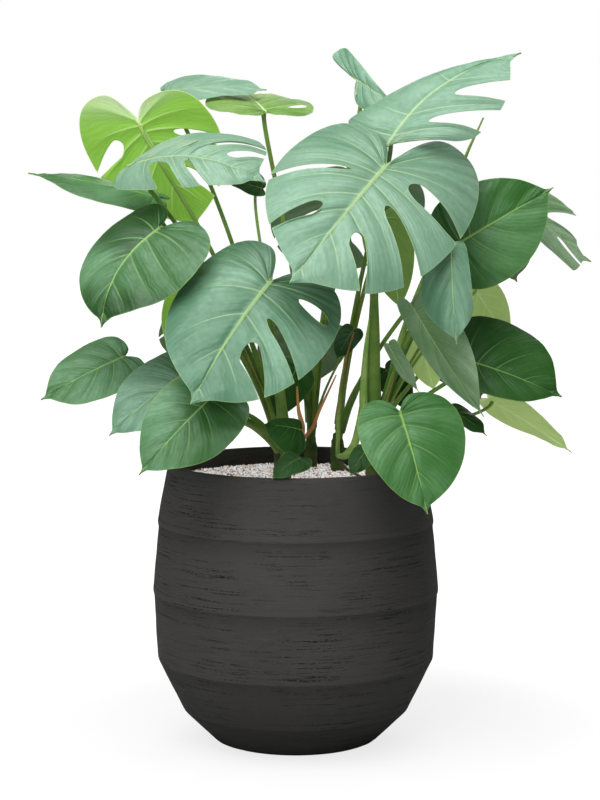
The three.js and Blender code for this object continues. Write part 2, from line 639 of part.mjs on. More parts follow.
// Gravel: a disc whose top is raised into grains by a sum of crossed waves
function gravelGeometry(holes) {
  const bottom = SOIL_TOP + GAP;
  const rim = innerRadius(GRAVEL_TOP) - GAP;
  const outline = [[0, bottom], [innerRadius(bottom) - GAP, bottom]];
  for (let i = 0; i <= GRAVEL_RINGS; i++) outline.push([rim * (1 - i / GRAVEL_RINGS), GRAVEL_TOP]);
  const disc = turned(outline, POT_SIDES);
  const position = disc.getAttribute('position');
  for (let i = 0; i < position.count; i++) {
    const [x, y, z] = [position.getX(i), position.getY(i), position.getZ(i)];
    if (z < GRAVEL_TOP - 1 || Math.hypot(x, y) > rim - 1) continue;
    const crossed = Math.sin(0.83 * x + 0.4 * y) * Math.cos(0.71 * y - 0.3 * x);
    const rows = Math.sin(0.2 * x + 0.9 * y);
    position.setZ(i, z + 0.5 * GRAVEL_GRAIN * (crossed + rows));
  }
  return toGeometry(toSolid(disc).subtract(holes));
}

addPiece('pot', potGeometry(), 0x3a3937, 0.85);
const holes = wasm.Manifold.union(Object.values(CROWNS).map(stemHole));
addPiece('soil', soilGeometry(holes), 0x2b211a, 0.95);
addPiece('gravel', gravelGeometry(holes), 0xcdbfb4, 0.8);

// Young and dried shoots about the crowns, from the stem outward: the radius at the stem, at
// the middle and at the end, and the points that it passes
const shoots = [
  {
    crown: 'right',
    radii: [6, 6, 1.2],
    points: [[108, 22, 390], [98, 6, 430], [94, -6, 480], [97, -10, 545], [102, -10, 591]],
  },
  {
    crown: 'right',
    radii: [5, 4, 1.2],
    points: [[108, 22, 390], [150, 66, 560], [215, 84, 720], [236, 76, 804], [264, 74, 869]],
  },
  {
    crown: 'middle',
    radii: [8, 5.5, 1.2],
    points: [[60, 92, 385], [62, 60, 415], [63, 40, 470], [68, 8, 520], [80, -16, 572]],
  },
  {
    crown: 'middle',
    radii: [7, 7, 4],
    points: [[60, 90, 388], [62, 60, 392], [70, 34, 400], [80, 26, 420], [80, 24, 446]],
  },
  {
    crown: 'middle',
    radii: [3, 2.5, 1.5],
    points: [[60, 88, 386], [64, 50, 382], [76, 10, 376], [92, -20, 372]],
  },
  {
    crown: 'front',
    radii: [5, 4, 1],
    points: [[-14, -46, 396], [4, -54, 420], [9, -58, 445], [4, -60, 470], [2, -60, 502]],
  },
  {
    crown: 'left',
    radii: [3, 2.5, 1],
    points: [[-22, 34, 392], [18, 10, 430], [34, -10, 466], [56, -20, 514]],
  },
];

function shootSolid({ radii, points }) {
  const curve = new THREE.CatmullRomCurve3(points.map(vec));
  const [foot, middle, end] = radii;
  const radiusAt = (u) => (u < 0.5
    ? THREE.MathUtils.lerp(foot, middle, 2 * u)
    : THREE.MathUtils.lerp(middle, end, 2 * u - 1));
  return toSolid(taperedBar(curve, radiusAt, PETIOLE_SIDES, points.length + 1));
}

for (const [name, crown] of Object.entries(CROWNS)) {
  const members = leaves.filter((entry) => entry.crown === name).map(petioleSolid);
  members.push(...shoots.filter((shoot) => shoot.crown === name).map(shootSolid));
  const solid = wasm.Manifold.union([stemSolid(crown), ...members]);
  addPiece(`stems_${name}`, toGeometry(solid), 0x5f7f35, 0.5);
}
for (const entry of leaves) addPiece(entry.name, bladeGeometry(entry), entry.colour, 0.4);

export default plant;
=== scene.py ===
"""Dresses a potted swiss cheese plant: cut and heart-shaped leaves with raised veins, petioles
with papery sheaths, ringed stems, fine gravel and a banded fibre-clay pot.

Shapes are worked out in millimetres in the plant's own frame and placed in metres. The origin
is the middle of the pot's foot, +Z is up and -Y is the front.
"""

from __future__ import annotations

import logging
import math
from collections.abc import Sequence
from dataclasses import dataclass, field
from enum import Enum
from functools import cache

import bpy
import numpy as np
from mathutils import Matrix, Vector
from numpy.typing import NDArray


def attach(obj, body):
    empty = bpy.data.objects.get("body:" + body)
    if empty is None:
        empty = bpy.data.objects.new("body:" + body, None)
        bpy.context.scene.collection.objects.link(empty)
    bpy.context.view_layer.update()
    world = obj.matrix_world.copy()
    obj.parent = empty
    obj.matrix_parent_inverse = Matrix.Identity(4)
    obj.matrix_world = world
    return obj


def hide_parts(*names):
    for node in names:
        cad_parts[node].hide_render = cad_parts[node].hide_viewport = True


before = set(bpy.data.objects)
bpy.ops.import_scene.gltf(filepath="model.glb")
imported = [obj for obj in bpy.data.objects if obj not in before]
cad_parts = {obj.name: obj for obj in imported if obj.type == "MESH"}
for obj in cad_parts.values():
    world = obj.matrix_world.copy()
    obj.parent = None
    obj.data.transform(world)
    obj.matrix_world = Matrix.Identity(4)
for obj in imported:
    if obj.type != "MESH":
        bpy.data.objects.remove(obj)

log = logging.getLogger("plant")

# One millimetre in the scene's metres, and the start of every random draw.
MM = 0.001
SEED = 7

Array = NDArray[np.float64]
Pair = tuple[float, float]
Point = tuple[float, float, float]
Colour = tuple[float, float, float, float]
Socket = bpy.types.NodeSocket
Feed = bpy.types.NodeSocket | float | tuple[float, ...]


# Shapes


def unit(vectors: Array) -> Array:
    """Vectors divided by their own length, along the last axis."""
    return vectors / np.maximum(np.linalg.norm(vectors, axis=-1, keepdims=True), 1e-12)


def clamp(values: Array | float, low: float = 0.0, high: float = 1.0) -> Array:
    """Values held between low and high."""
    return np.clip(values, low, high)


def ease(values: Array | float) -> Array:
    """Values from 0 to 1 with a level start and end: 3 u squared less 2 u cubed."""
    held = clamp(values)
    return held * held * (3 - 2 * held)


def cubic(knots: Sequence[Sequence[float]], u: Array) -> Array:
    """Points of a cubic curve: its four knots weighted by the Bernstein terms of u.

    Args:
        knots: Start, two handles and end.
        u: Places along the curve, 0 to 1, of any shape.

    Returns:
        The points, with one more axis than u.
    """
    v = 1 - u
    weights = np.stack([v**3, 3 * v * v * u, 3 * v * u * u, u**3], axis=-1)
    return weights @ np.asarray(knots, float)


def through(points: Sequence[Sequence[float]], count: int) -> Array:
    """A smooth curve through points: each stretch is a cubic whose slopes are half the chord
    between its neighbours.

    Args:
        points: The points that it passes.
        count: How many points to return, even in the curve's parameter.

    Returns:
        The curve's points, count by 3.
    """
    known = np.asarray(points, float)
    padded = np.vstack([2 * known[0] - known[1], known, 2 * known[-1] - known[-2]])
    place = np.linspace(0, len(known) - 1, count)
    index = np.minimum(place.astype(int), len(known) - 2)
    u = (place - index)[:, None]
    a, b, c, d = (padded[index + k] for k in range(4))
    return 0.5 * (2 * b + (c - a) * u + (2 * a - 5 * b + 4 * c - d) * u**2 + (3 * b - a - 3 * c + d) * u**3)


def turns(count: int) -> Array:
    """Angles of even steps round a circle, in radians."""
    return np.arange(count) * 2 * math.pi / count


def travelled(points: Array, axis: int = 0) -> Array:
    """Distances along lines of points, each from its line's first point.

    Args:
        points: The points, with x, y and z on the last axis.
        axis: The axis that the lines run along.

    Returns:
        The distance at each point.
    """
    steps = np.linalg.norm(np.diff(points, axis=axis), axis=-1)
    start = np.zeros_like(np.take(steps, [0], axis=axis))
    return np.concatenate([start, np.cumsum(steps, axis=axis)], axis=axis)


def rolled(sides: int, along: Array) -> Array:
    """Flow of a surface made of rings: the share of a turn in x and the distance along in y."""
    turn = np.arange(sides)[None] / sides
    return np.stack(np.broadcast_arrays(turn, along[:, None]), -1).reshape(-1, 2)


def ripple(x: Array, y: Array, seed: int, scale: float, terms: int = 5) -> Array:
    """Smooth random relief from about -1 to 1: a sum of plane waves of random direction and phase.

    Args:
        x: First coordinate, in millimetres.
        y: Second coordinate, in millimetres.
        seed: Which relief.
        scale: Typical wavelength in millimetres.
        terms: How many waves.

    Returns:
        The relief at each point.
    """
    random = np.random.default_rng(SEED + seed)
    total = np.zeros(np.broadcast(x, y).shape)
    for _ in range(terms):
        angle, phase = random.uniform(0, 2 * math.pi, 2)
        wave = 2 * math.pi / (scale * random.uniform(0.6, 1.6))
        total = total + np.sin(wave * (math.cos(angle) * x + math.sin(angle) * y) + phase)
    return total / terms * 1.6


@dataclass
class Surface:
    """Points in millimetres, triangles, and what each point carries for its finish."""

    points: Array
    triangles: NDArray[np.int64]
    values: dict[str, Array] = field(default_factory=dict)
    flow: Array | None = None

    @staticmethod
    def gathered(parts: Sequence[Surface]) -> Surface:
        """Surfaces as one, with the values and the flow that all of them carry.

        Args:
            parts: The surfaces, at least one.

        Returns:
            One surface with every point and triangle.
        """
        starts = np.cumsum([0] + [len(part.points) for part in parts[:-1]])
        names = parts[0].values
        return Surface(
            np.vstack([part.points for part in parts]),
            np.vstack([part.triangles + start for part, start in zip(parts, starts)]),
            {name: np.concatenate([part.values[name] for part in parts]) for name in names},
            np.vstack([part.flow for part in parts]),
        )

    def welded(self, grid: float = 0.002) -> Surface:
        """The surface with points that round to the same place merged and flat faces dropped.

        Args:
            grid: Size in millimetres of the cells that points are rounded to.

        Returns:
            The merged surface.
        """
        cells = np.round(self.points / grid).astype(np.int64)
        _, first, index = np.unique(cells, axis=0, return_index=True, return_inverse=True)
        tris = index.reshape(-1)[self.triangles]
        kept = (tris[:, 0] != tris[:, 1]) & (tris[:, 1] != tris[:, 2]) & (tris[:, 0] != tris[:, 2])
        flow = None if self.flow is None else self.flow[first]
        values = {name: array[first] for name, array in self.values.items()}
        return Surface(self.points[first], tris[kept], values, flow)

    def normals(self) -> Array:
        """Normals by the sum of the cross products of each point's triangles, made one long.

        Returns:
            The normal at each point.
        """
        a, b, c = (self.points[self.triangles[:, k]] for k in range(3))
        faces = np.cross(b - a, c - a)
        total = np.zeros_like(self.points)
        for k in range(3):
            np.add.at(total, self.triangles[:, k], faces)
        return unit(total)

    def thickened(self, above: Array | float, below: Array | float) -> Surface:
        """A closed body: the sheet moved out along its normals on both sides, with walls between.

        Args:
            above: How far the upper face stands off the sheet, in millimetres.
            below: How far the lower face does.

        Returns:
            The closed surface, with the value "under" 0 on the upper face and 1 on the lower.
        """
        normals = self.normals()
        count = len(self.points)
        upper = self.points + normals * np.reshape(above, (-1, 1))
        lower = self.points - normals * np.reshape(below, (-1, 1))
        tris = self.triangles
        ways = np.vstack([tris[:, [0, 1]], tris[:, [1, 2]], tris[:, [2, 0]]])
        key = ways.min(axis=1) * count + ways.max(axis=1)
        _, index, uses = np.unique(key, return_index=True, return_counts=True)
        rim = ways[index[uses == 1]]
        start, end = rim[:, 0], rim[:, 1]
        near = np.column_stack([end, start, count + start])
        far = np.column_stack([end, count + start, count + end])
        values = {name: np.concatenate([array, array]) for name, array in self.values.items()}
        values["under"] = np.repeat([0.0, 1.0], count)
        flow = None if self.flow is None else np.vstack([self.flow, self.flow])
        faces = np.vstack([tris, tris[:, ::-1] + count, near, far])
        return Surface(np.vstack([upper, lower]), faces, values, flow)


def lattice(rows: int, columns: int, around: bool = False) -> NDArray[np.int64]:
    """Triangles of a grid of rows by columns points, counted row by row.

    Args:
        rows: How many rows.
        columns: How many points in a row.
        around: Whether each row closes on itself.

    Returns:
        Triangles that turn from the column direction to the row direction.
    """
    index = np.arange(rows * columns).reshape(rows, columns)
    after = np.roll(index, -1, axis=1) if around else index[:, 1:]
    here = index if around else index[:, :-1]
    a, b, c, d = here[:-1], after[:-1], after[1:], here[1:]
    return np.concatenate([np.stack([a, b, c], -1), np.stack([a, c, d], -1)]).reshape(-1, 3)


# How far a bar's pointed ends reach, as a share of the radius there.
CAP = 0.4


def tube(path: Array, radii: Array, sides: int, section: Array | None = None) -> Surface:
    """A closed bar: rings of one section set square to a path, drawn to a point at both ends.

    Args:
        path: The centre line, n by 3.
        radii: Radius at each of its points.
        sides: Points round a ring.
        section: Factor on the radius at each side, or none for a round bar.

    Returns:
        The bar, with flow running round it in x and along it in millimetres in y.
    """
    tangent = unit(np.gradient(path, axis=0))
    reference = np.eye(3)[np.argmin(np.abs(tangent).max(axis=0))]
    first = unit(np.cross(tangent, reference))
    second = np.cross(tangent, first)
    angle = turns(sides)
    factor = np.ones(sides) if section is None else section
    cos, sin = (np.cos(angle) * factor)[None, :, None], (np.sin(angle) * factor)[None, :, None]
    rings = path[:, None] + radii[:, None, None] * (cos * first[:, None] + sin * second[:, None])
    start = path[0] - tangent[0] * radii[0] * CAP
    end = path[-1] + tangent[-1] * radii[-1] * CAP
    points = np.concatenate([np.tile(start, (1, sides, 1)), rings, np.tile(end, (1, sides, 1))])
    length = travelled(path)
    along = np.concatenate([[length[0]], length, [length[-1]]])
    triangles = lattice(len(points), sides, around=True)
    values = {"along": np.repeat(along / along[-1], sides)}
    return Surface(points.reshape(-1, 3), triangles, values, rolled(sides, along)).welded()


def turned(profile: Array, sides: int, radial: Array | None = None) -> Surface:
    """A closed body of revolution: a profile of radius and height carried round the axis.

    Args:
        profile: Points of [radius, height] from the axis up the outside and back to the axis.
        sides: How many steps round.
        radial: What to add to the radius at each profile point and side, or none.

    Returns:
        The body, with flow holding the turn in x and the distance along the profile in y.
    """
    angle = turns(sides)
    radius = profile[:, :1] + (0 if radial is None else radial)
    radius = np.where(profile[:, :1] < 1e-6, 0.0, radius)
    x, y = radius * np.cos(angle), radius * np.sin(angle)
    points = np.stack(np.broadcast_arrays(x, y, profile[:, 1:]), -1).reshape(-1, 3)
    triangles = lattice(len(profile), sides, around=True)
    return Surface(points, triangles, {}, rolled(sides, travelled(profile))).welded()


def sampled(corners: Sequence[Pair], steps: Sequence[float], rounds: int) -> Array:
    """A line of points through corners, with the corners softened by averaging neighbours.

    Args:
        corners: Corner points.
        steps: Spacing along each stretch, in millimetres.
        rounds: How many times each inner point is averaged with its neighbours.

    Returns:
        The points.
    """
    line = [np.asarray(corners[:1], float)]
    for start, end, step in zip(corners[:-1], corners[1:], steps):
        count = max(1, round(math.dist(start, end) / step))
        line.append(np.linspace(start, end, count + 1)[1:])
    points = np.vstack(line)
    for _ in range(rounds):
        points[1:-1] = 0.25 * points[:-2] + 0.5 * points[1:-1] + 0.25 * points[2:]
    return points


def place(
    name: str,
    surface: Surface,
    material: bpy.types.Material,
    slot: str,
    *nodes: str,
    crease: float = 50.0,
) -> bpy.types.Object:
    """slot: Not used. The slot that its finish belongs to.
        nodes: The plain solids that it stands for.
        crease: Edges that turn more than this, in degrees, are shaded sharp.

    Returns:
        The new object.
    """
    mesh = bpy.data.meshes.new(name)
    mesh.vertices.add(len(surface.points))
    mesh.vertices.foreach_set("co", (surface.points * MM).astype(np.float32).ravel())
    corners = surface.triangles.astype(np.int32).ravel()
    mesh.loops.add(len(corners))
    mesh.loops.foreach_set("vertex_index", corners)
    mesh.polygons.add(len(surface.triangles))
    mesh.polygons.foreach_set("loop_start", np.arange(0, len(corners), 3, dtype=np.int32))
    mesh.polygons.foreach_set("use_smooth", np.ones(len(surface.triangles), bool))
    for title, array in surface.values.items():
        attribute = mesh.attributes.new(title, "FLOAT", "POINT")
        attribute.data.foreach_set("value", array.astype(np.float32))
    if surface.flow is not None:
        layer = mesh.uv_layers.new(name="flow")
        layer.data.foreach_set("uv", surface.flow[corners].astype(np.float32).ravel())
    mesh.update(calc_edges=True)
    mesh.validate()
    mesh.set_sharp_from_angle(angle=math.radians(crease))
    mesh.materials.append(material)
    piece = bpy.data.objects.new(name, mesh)
    bpy.context.scene.collection.objects.link(piece)
    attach(piece, "root")
    if nodes:
        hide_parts(*nodes)
    log.info("%s: %d points, %d triangles", name, len(surface.points), len(surface.triangles))
    return piece


# Finishes


def grey(level: float) -> Colour:
    """A grey by its linear level, with full alpha."""
    return (level, level, level, 1.0)


def linear(code: str) -> Colour:
    """Linear colour of an sRGB code, with full alpha.

    Args:
        code: The code, such as #4f8a5c.

    Returns:
        Red, green, blue and alpha.
    """
    parts = np.array([int(code[i : i + 2], 16) for i in (1, 3, 5)]) / 255
    light = np.where(parts <= 0.04045, parts / 12.92, ((parts + 0.055) / 1.055) ** 2.4)
    return (float(light[0]), float(light[1]), float(light[2]), 1.0)


class NodePen:
    """Adds nodes to one tree and joins their sockets."""

    def __init__(self, tree: bpy.types.NodeTree) -> None:
        """Keeps the tree that the nodes go into."""
        self.tree = tree

    def put(self, socket: Socket, value: Feed) -> None:
        """Joins a socket to another one, or sets its own value.

        Args:
            socket: The input socket.
            value: The output socket or the value that it is fed.
        """
        if isinstance(value, bpy.types.NodeSocket):
            self.tree.links.new(value, socket)
        else:
            socket.default_value = value

    def node(
        self, kind: str, inputs: dict[str | int, Feed] | None = None, **settings: str | bool
    ) -> bpy.types.Node:
        """Adds a node.

        Args:
            kind: Its type's identifier.
            inputs: What each of its sockets is fed or set to.
            settings: The node's own options.

        Returns:
            The node.
        """
        made = self.tree.nodes.new(kind)
        for name, value in settings.items():
            setattr(made, name, value)
        for key, value in (inputs or {}).items():
            self.put(made.inputs[key], value)
        return made

    def maths(self, operation: str, a: Feed, b: Feed = 0.0, c: Feed = 0.0) -> Socket:
        """The result of one operation on two or three numbers."""
        return self.node("ShaderNodeMath", {0: a, 1: b, 2: c}, operation=operation).outputs[0]

    def scaled(self, value: Feed, factor: Feed) -> Socket:
        """A value times a factor."""
        return self.maths("MULTIPLY", value, factor)

    def stirred(self, value: Feed, other: Feed, strength: float) -> Socket:
        """A value moved up and down by how far another one is from its middle of 0.5."""
        return self.maths("ADD", value, self.scaled(self.maths("SUBTRACT", other, 0.5), strength))

    def blend(self, factor: Feed, a: Feed, b: Feed) -> Socket:
        """Colour a mixed with colour b by a factor."""
        inputs = {0: factor, 6: a, 7: b}
        return self.node("ShaderNodeMix", inputs, data_type="RGBA").outputs[2]

    def washed(self, colour: Feed, *layers: tuple[Feed, float, Feed]) -> Feed:
        """A colour with others laid over it in turn.

        Args:
            colour: The colour below.
            layers: For each layer its mask, its strength and its colour.

        Returns:
            The colour with every layer on it.
        """
        for mask, strength, other in layers:
            colour = self.blend(self.scaled(mask, strength), colour, other)
        return colour

    def step(self, value: Feed, low: Feed, high: Feed, start: float = 0.0, end: float = 1.0) -> Socket:
        """A soft step from start to end as the value goes from low to high."""
        inputs = {0: value, 1: low, 2: high, 3: start, 4: end}
        return self.node("ShaderNodeMapRange", inputs, interpolation_type="SMOOTHSTEP").outputs[0]

    def where(self, scale: Point = (1.0, 1.0, 1.0)) -> Socket:
        """Object coordinates of the piece, stretched on each axis."""
        coordinates = self.node("ShaderNodeTexCoord").outputs["Object"]
        return self.node("ShaderNodeMapping", {"Vector": coordinates, "Scale": scale}).outputs[0]

    def noise(self, vector: Socket, scale: Feed, detail: Feed = 3.0, rough: float = 0.55) -> Socket:
        """Smooth noise from 0 to 1."""
        inputs = {"Vector": vector, "Scale": scale, "Detail": detail, "Roughness": rough}
        return self.node("ShaderNodeTexNoise", inputs).outputs[0]

    def carried(self, name: str) -> Socket:
        """A value that the piece's points carry."""
        return self.node("ShaderNodeAttribute", attribute_name=name).outputs["Fac"]

    def flow(self) -> tuple[Socket, Socket]:
        """Reads the piece's flow map.

        Returns:
            Its x and its y.
        """
        place_on = self.node("ShaderNodeUVMap", uv_map="flow").outputs[0]
        apart = self.node("ShaderNodeSeparateXYZ", {0: place_on})
        return apart.outputs[0], apart.outputs[1]

    def bump(self, height: Socket, distance: float, strength: float) -> Socket:
        """A normal bent by a height that is counted in a distance in metres."""
        inputs = {"Height": height, "Distance": distance, "Strength": strength}
        return self.node("ShaderNodeBump", inputs).outputs[0]

    def dress(self, shader: bpy.types.Node, colour: Feed, rough: Feed, normal: Socket) -> None:
        """Feeds a shader its colour, its roughness and its normal."""
        self.put(shader.inputs["Base Color"], colour)
        self.put(shader.inputs["Roughness"], rough)
        self.put(shader.inputs["Normal"], normal)


class Effect:
    """A shader node group with named inputs and outputs, built once and shared."""

    title: str = ""
    inputs: dict[str, float] = {}
    outputs: tuple[str, ...] = ()

    def draw(self, pen: NodePen, given: dict[str, Socket]) -> dict[str, Socket]:
        """Draws the group's nodes.

        Args:
            pen: The group's pen.
            given: Its input sockets by name.

        Returns:
            What each of its outputs is fed, by name.
        """
        raise NotImplementedError

    def tree(self) -> bpy.types.NodeTree:
        """Makes the group's node tree at its first use.

        Returns:
            The tree.
        """
        found = bpy.data.node_groups.get(self.title)
        if found is not None:
            return found
        made = bpy.data.node_groups.new(self.title, "ShaderNodeTree")
        for name, value in self.inputs.items():
            socket = made.interface.new_socket(name=name, in_out="INPUT", socket_type="NodeSocketFloat")
            socket.default_value = value
        for name in self.outputs:
            made.interface.new_socket(name=name, in_out="OUTPUT", socket_type="NodeSocketFloat")
        pen = NodePen(made)
        source = pen.node("NodeGroupInput")
        sink = pen.node("NodeGroupOutput")
        given = {name: source.outputs[name] for name in self.inputs}
        for name, socket in self.draw(pen, given).items():
            pen.put(sink.inputs[name], socket)
        return made

    def use(self, pen: NodePen, **values: float) -> dict[str, Socket]:
        """Places the group in a material.

        Args:
            pen: The material's pen.
            values: Its inputs where they differ from the usual.

        Returns:
            Its output sockets by name.
        """
        made = pen.node("ShaderNodeGroup")
        made.node_tree = self.tree()
        for name, value in values.items():
            made.inputs[name].default_value = value
        return {name: made.outputs[name] for name in self.outputs}


class Mottle(Effect):
    """Soft patches over a piece: noise on Object coordinates, cut softly between Low and High."""

    title = "mottle"
    inputs = {"Scale": 20.0, "Detail": 3.0, "Low": 0.4, "High": 0.62}
    outputs = ("Fac",)

    def draw(self, pen: NodePen, given: dict[str, Socket]) -> dict[str, Socket]:
        """Noise from the piece's own place, mapped from Low..High to 0..1."""
        noise = pen.noise(pen.where(), given["Scale"], given["Detail"], 0.5)
        return {"Fac": pen.step(noise, given["Low"], given["High"])}


class Grain(Effect):
    """Fine lines that follow the piece: noise on its flow map, drawn out along the flow."""

    title = "grain"
    inputs = {"Across": 40.0, "Along": 2.0, "Low": 0.35, "High": 0.65}
    outputs = ("Fac",)

    def draw(self, pen: NodePen, given: dict[str, Socket]) -> dict[str, Socket]:
        """Noise whose cells are narrow across the flow and long with it.

        Args:
            pen: The group's pen.
            given: Its input sockets by name.

        Returns:
            The lines' mask, by name.
        """
        across, along = pen.flow()
        stretched = {0: pen.scaled(across, given["Across"]), 1: pen.scaled(along, given["Along"])}
        vector = pen.node("ShaderNodeCombineXYZ", stretched).outputs[0]
        return {"Fac": pen.step(pen.noise(vector, 1.0, 4.0), given["Low"], given["High"])}


# How far apart the two halves of a blade lie on its flow map, in side veins.
HALF_APART = 40.0


class VeinMarks(Effect):
    """Masks of a leaf's midrib, side veins, furrows, margin, underside and first lobes, from what
    its points carry, and the height of the fine veins between."""

    title = "vein marks"
    inputs = {"Fine": 6.0}
    outputs = ("Rib", "Vein", "Furrow", "Margin", "Under", "Fine", "Lobe")

    def draw(self, pen: NodePen, given: dict[str, Socket]) -> dict[str, Socket]:
        """Soft steps of the distances to the midrib, the nearest side vein and the edge, of which
        veins and furrows fade towards the edge, and a wave along the count of side veins, stirred
        by noise.

        Args:
            pen: The group's pen.
            given: Its input sockets by name.

        Returns:
            The masks and the fine veins' height, by name.
        """
        vein, run = pen.carried("vein"), pen.carried("run")
        fade = pen.step(run, 1.0, 0.3)
        count, _ = pen.flow()
        stir = pen.scaled(pen.noise(pen.where(), 30.0, 2.0), 0.55)
        fine = pen.scaled(pen.maths("ADD", count, stir), given["Fine"])
        wave = pen.maths("SINE", pen.scaled(fine, 2 * math.pi))
        return {
            "Rib": pen.step(pen.carried("rib"), 0.9, 0.5),
            "Vein": pen.scaled(pen.step(vein, 1.5, 0.5), fade),
            # Where the finish paints shade in the furrows beside the side veins.
            "Furrow": pen.scaled(pen.step(vein, 11.0, 1.0), pen.step(run, 0.8, 0.05)),
            "Margin": pen.step(pen.carried("margin"), 1.1, 0.5),
            "Under": pen.carried("under"),
            "Fine": pen.maths("MULTIPLY_ADD", wave, 0.5, 0.5),
            # Where a young leaf's finish paints light on the first lobes of its underside.
            "Lobe": pen.step(pen.maths("MODULO", count, HALF_APART), 2.4, 0.2),
        }


MOTTLE = Mottle()
GRAIN = Grain()
VEIN_MARKS = VeinMarks()


def blank(
    name: str, roughness: float, specular: float = 0.5
) -> tuple[bpy.types.Material, NodePen, bpy.types.Node]:
    """A material with its Principled shader.

    Args:
        name: The material's name.
        roughness: The shader's own roughness.
        specular: The shader's own specular level.

    Returns:
        The material, a pen for its tree, and the shader.
    """
    made = bpy.data.materials.new(name)
    made.use_nodes = True
    shader = made.node_tree.nodes["Principled BSDF"]
    shader.inputs["Roughness"].default_value = roughness
    shader.inputs["Specular IOR Level"].default_value = specular
    return made, NodePen(made.node_tree), shader


# Tint of the shine on a leaf, the share of its red, green and blue that a face keeps in its
# darker cells and lines and in the painted shade of its furrows, the green of the painted shade
# where it is deep, and the whitish green of the painted light on the first lobes of a young
# leaf's underside.
SHEEN = (0.8, 1.0, 0.88, 1.0)
MARK_AND_SHADE_SHARE = (0.5, 0.62, 0.36)
PAINTED_SHADE_GREEN = "#17420b"
LIT_LOBE_WHITE = "#e6f3cf"


@dataclass(frozen=True)
class LeafFinish:
    """One leaf tone: the slot it belongs to, and colours of the upper face, its lit patches, the
    side veins, the midrib and the underside.

    Contrast is how strongly cells and lines darken the face and how strong the painted shade in
    the furrows is, and glow how strongly a young leaf has a painted glow: emission that stands in
    for light that passes through it.
    """

    title: str
    slot: str
    upper: str
    patches: str
    vein: str
    rib: str
    under: str
    roughness: float = 0.38
    specular: float = 0.7
    contrast: float = 0.5
    glow: float = 0.0

    @cache
    def material(self) -> bpy.types.Material:
        """The tone's material, made at its first use.

        The face has painted lit patches and painted shade by the value "deep", is mottled and finely
        lined along its veins, has painted shade in the furrows, pales at veins, midrib and margin, and
        turns to the duller underside by the underside's mask. A young leaf has painted light on the
        first lobes of its underside and a painted glow.

        Returns:
            The material.
        """
        made, pen, shader = blank(f"blade_{self.title}", self.roughness, self.specular)
        marks = VEIN_MARKS.use(pen)
        shader.inputs["Specular Tint"].default_value = SHEEN
        patch = MOTTLE.use(pen, Scale=7.5, Low=0.36)["Fac"]
        cells = MOTTLE.use(pen, Scale=140.0, Detail=5.0, Low=0.3, High=0.72)["Fac"]
        lines = GRAIN.use(pen, Across=7.0, Along=1.2)["Fac"]
        upper, patches = linear(self.upper), linear(self.patches)
        vein, rib, under = linear(self.vein), linear(self.rib), linear(self.under)
        dark_marks_and_shade = (*(share * part for share, part in zip(MARK_AND_SHADE_SHARE, upper)), 1.0)
        deep = pen.stirred(pen.carried("deep"), lines, 0.25)
        # Painted highlight: lit patches of a paler green stand in for the leaf's sheen.
        face = pen.blend(patch, upper, patches)
        # Painted shade: by the value "deep" the face turns to a deep green, stirred by the lines.
        face = pen.blend(pen.step(deep, 0.1, 1.0, 0.0, 0.95), face, linear(PAINTED_SHADE_GREEN))
        face = pen.washed(
            face,
            (cells, 0.36 * self.contrast, dark_marks_and_shade),
            (lines, 0.2 * self.contrast, dark_marks_and_shade),
            (marks["Fine"], 0.16, dark_marks_and_shade),
            # Painted shade in the furrows beside the side veins.
            (marks["Furrow"], 0.75 * self.contrast, dark_marks_and_shade),
            (marks["Vein"], 0.6, vein),
            (marks["Rib"], 0.9, rib),
        )
        # The underside has the same painted lit patches at half strength.
        back = pen.washed(under, (patch, 0.5, patches), (lines, 0.1, dark_marks_and_shade))
        # Painted light: whitish first lobes of a young leaf's underside, as if light shone through them.
        if self.glow > 0.5:
            back = pen.washed(back, (marks["Lobe"], self.glow, linear(LIT_LOBE_WHITE)))
        back = pen.washed(
            back, (marks["Fine"], 0.1, vein), (marks["Vein"], 0.7, vein), (marks["Rib"], 0.9, rib)
        )
        colour = pen.blend(marks["Under"], face, back)
        colour = pen.washed(colour, (marks["Margin"], 0.55, rib))
        # Painted glow: the leaf's own colour is emitted, standing in for light that passes through a young
        # leaf.
        if self.glow:
            pen.put(shader.inputs["Emission Color"], colour)
            shader.inputs["Emission Strength"].default_value = 0.3 * self.glow
        rough = pen.step(cells, 0.0, 1.0, self.roughness - 0.05, self.roughness + 0.08)
        rough = pen.maths("ADD", rough, pen.scaled(marks["Under"], 0.12))
        height = pen.maths("ADD", pen.scaled(lines, 0.4), pen.scaled(marks["Fine"], 0.6))
        pen.dress(shader, colour, rough, pen.bump(height, 0.0004, 0.5))
        return made


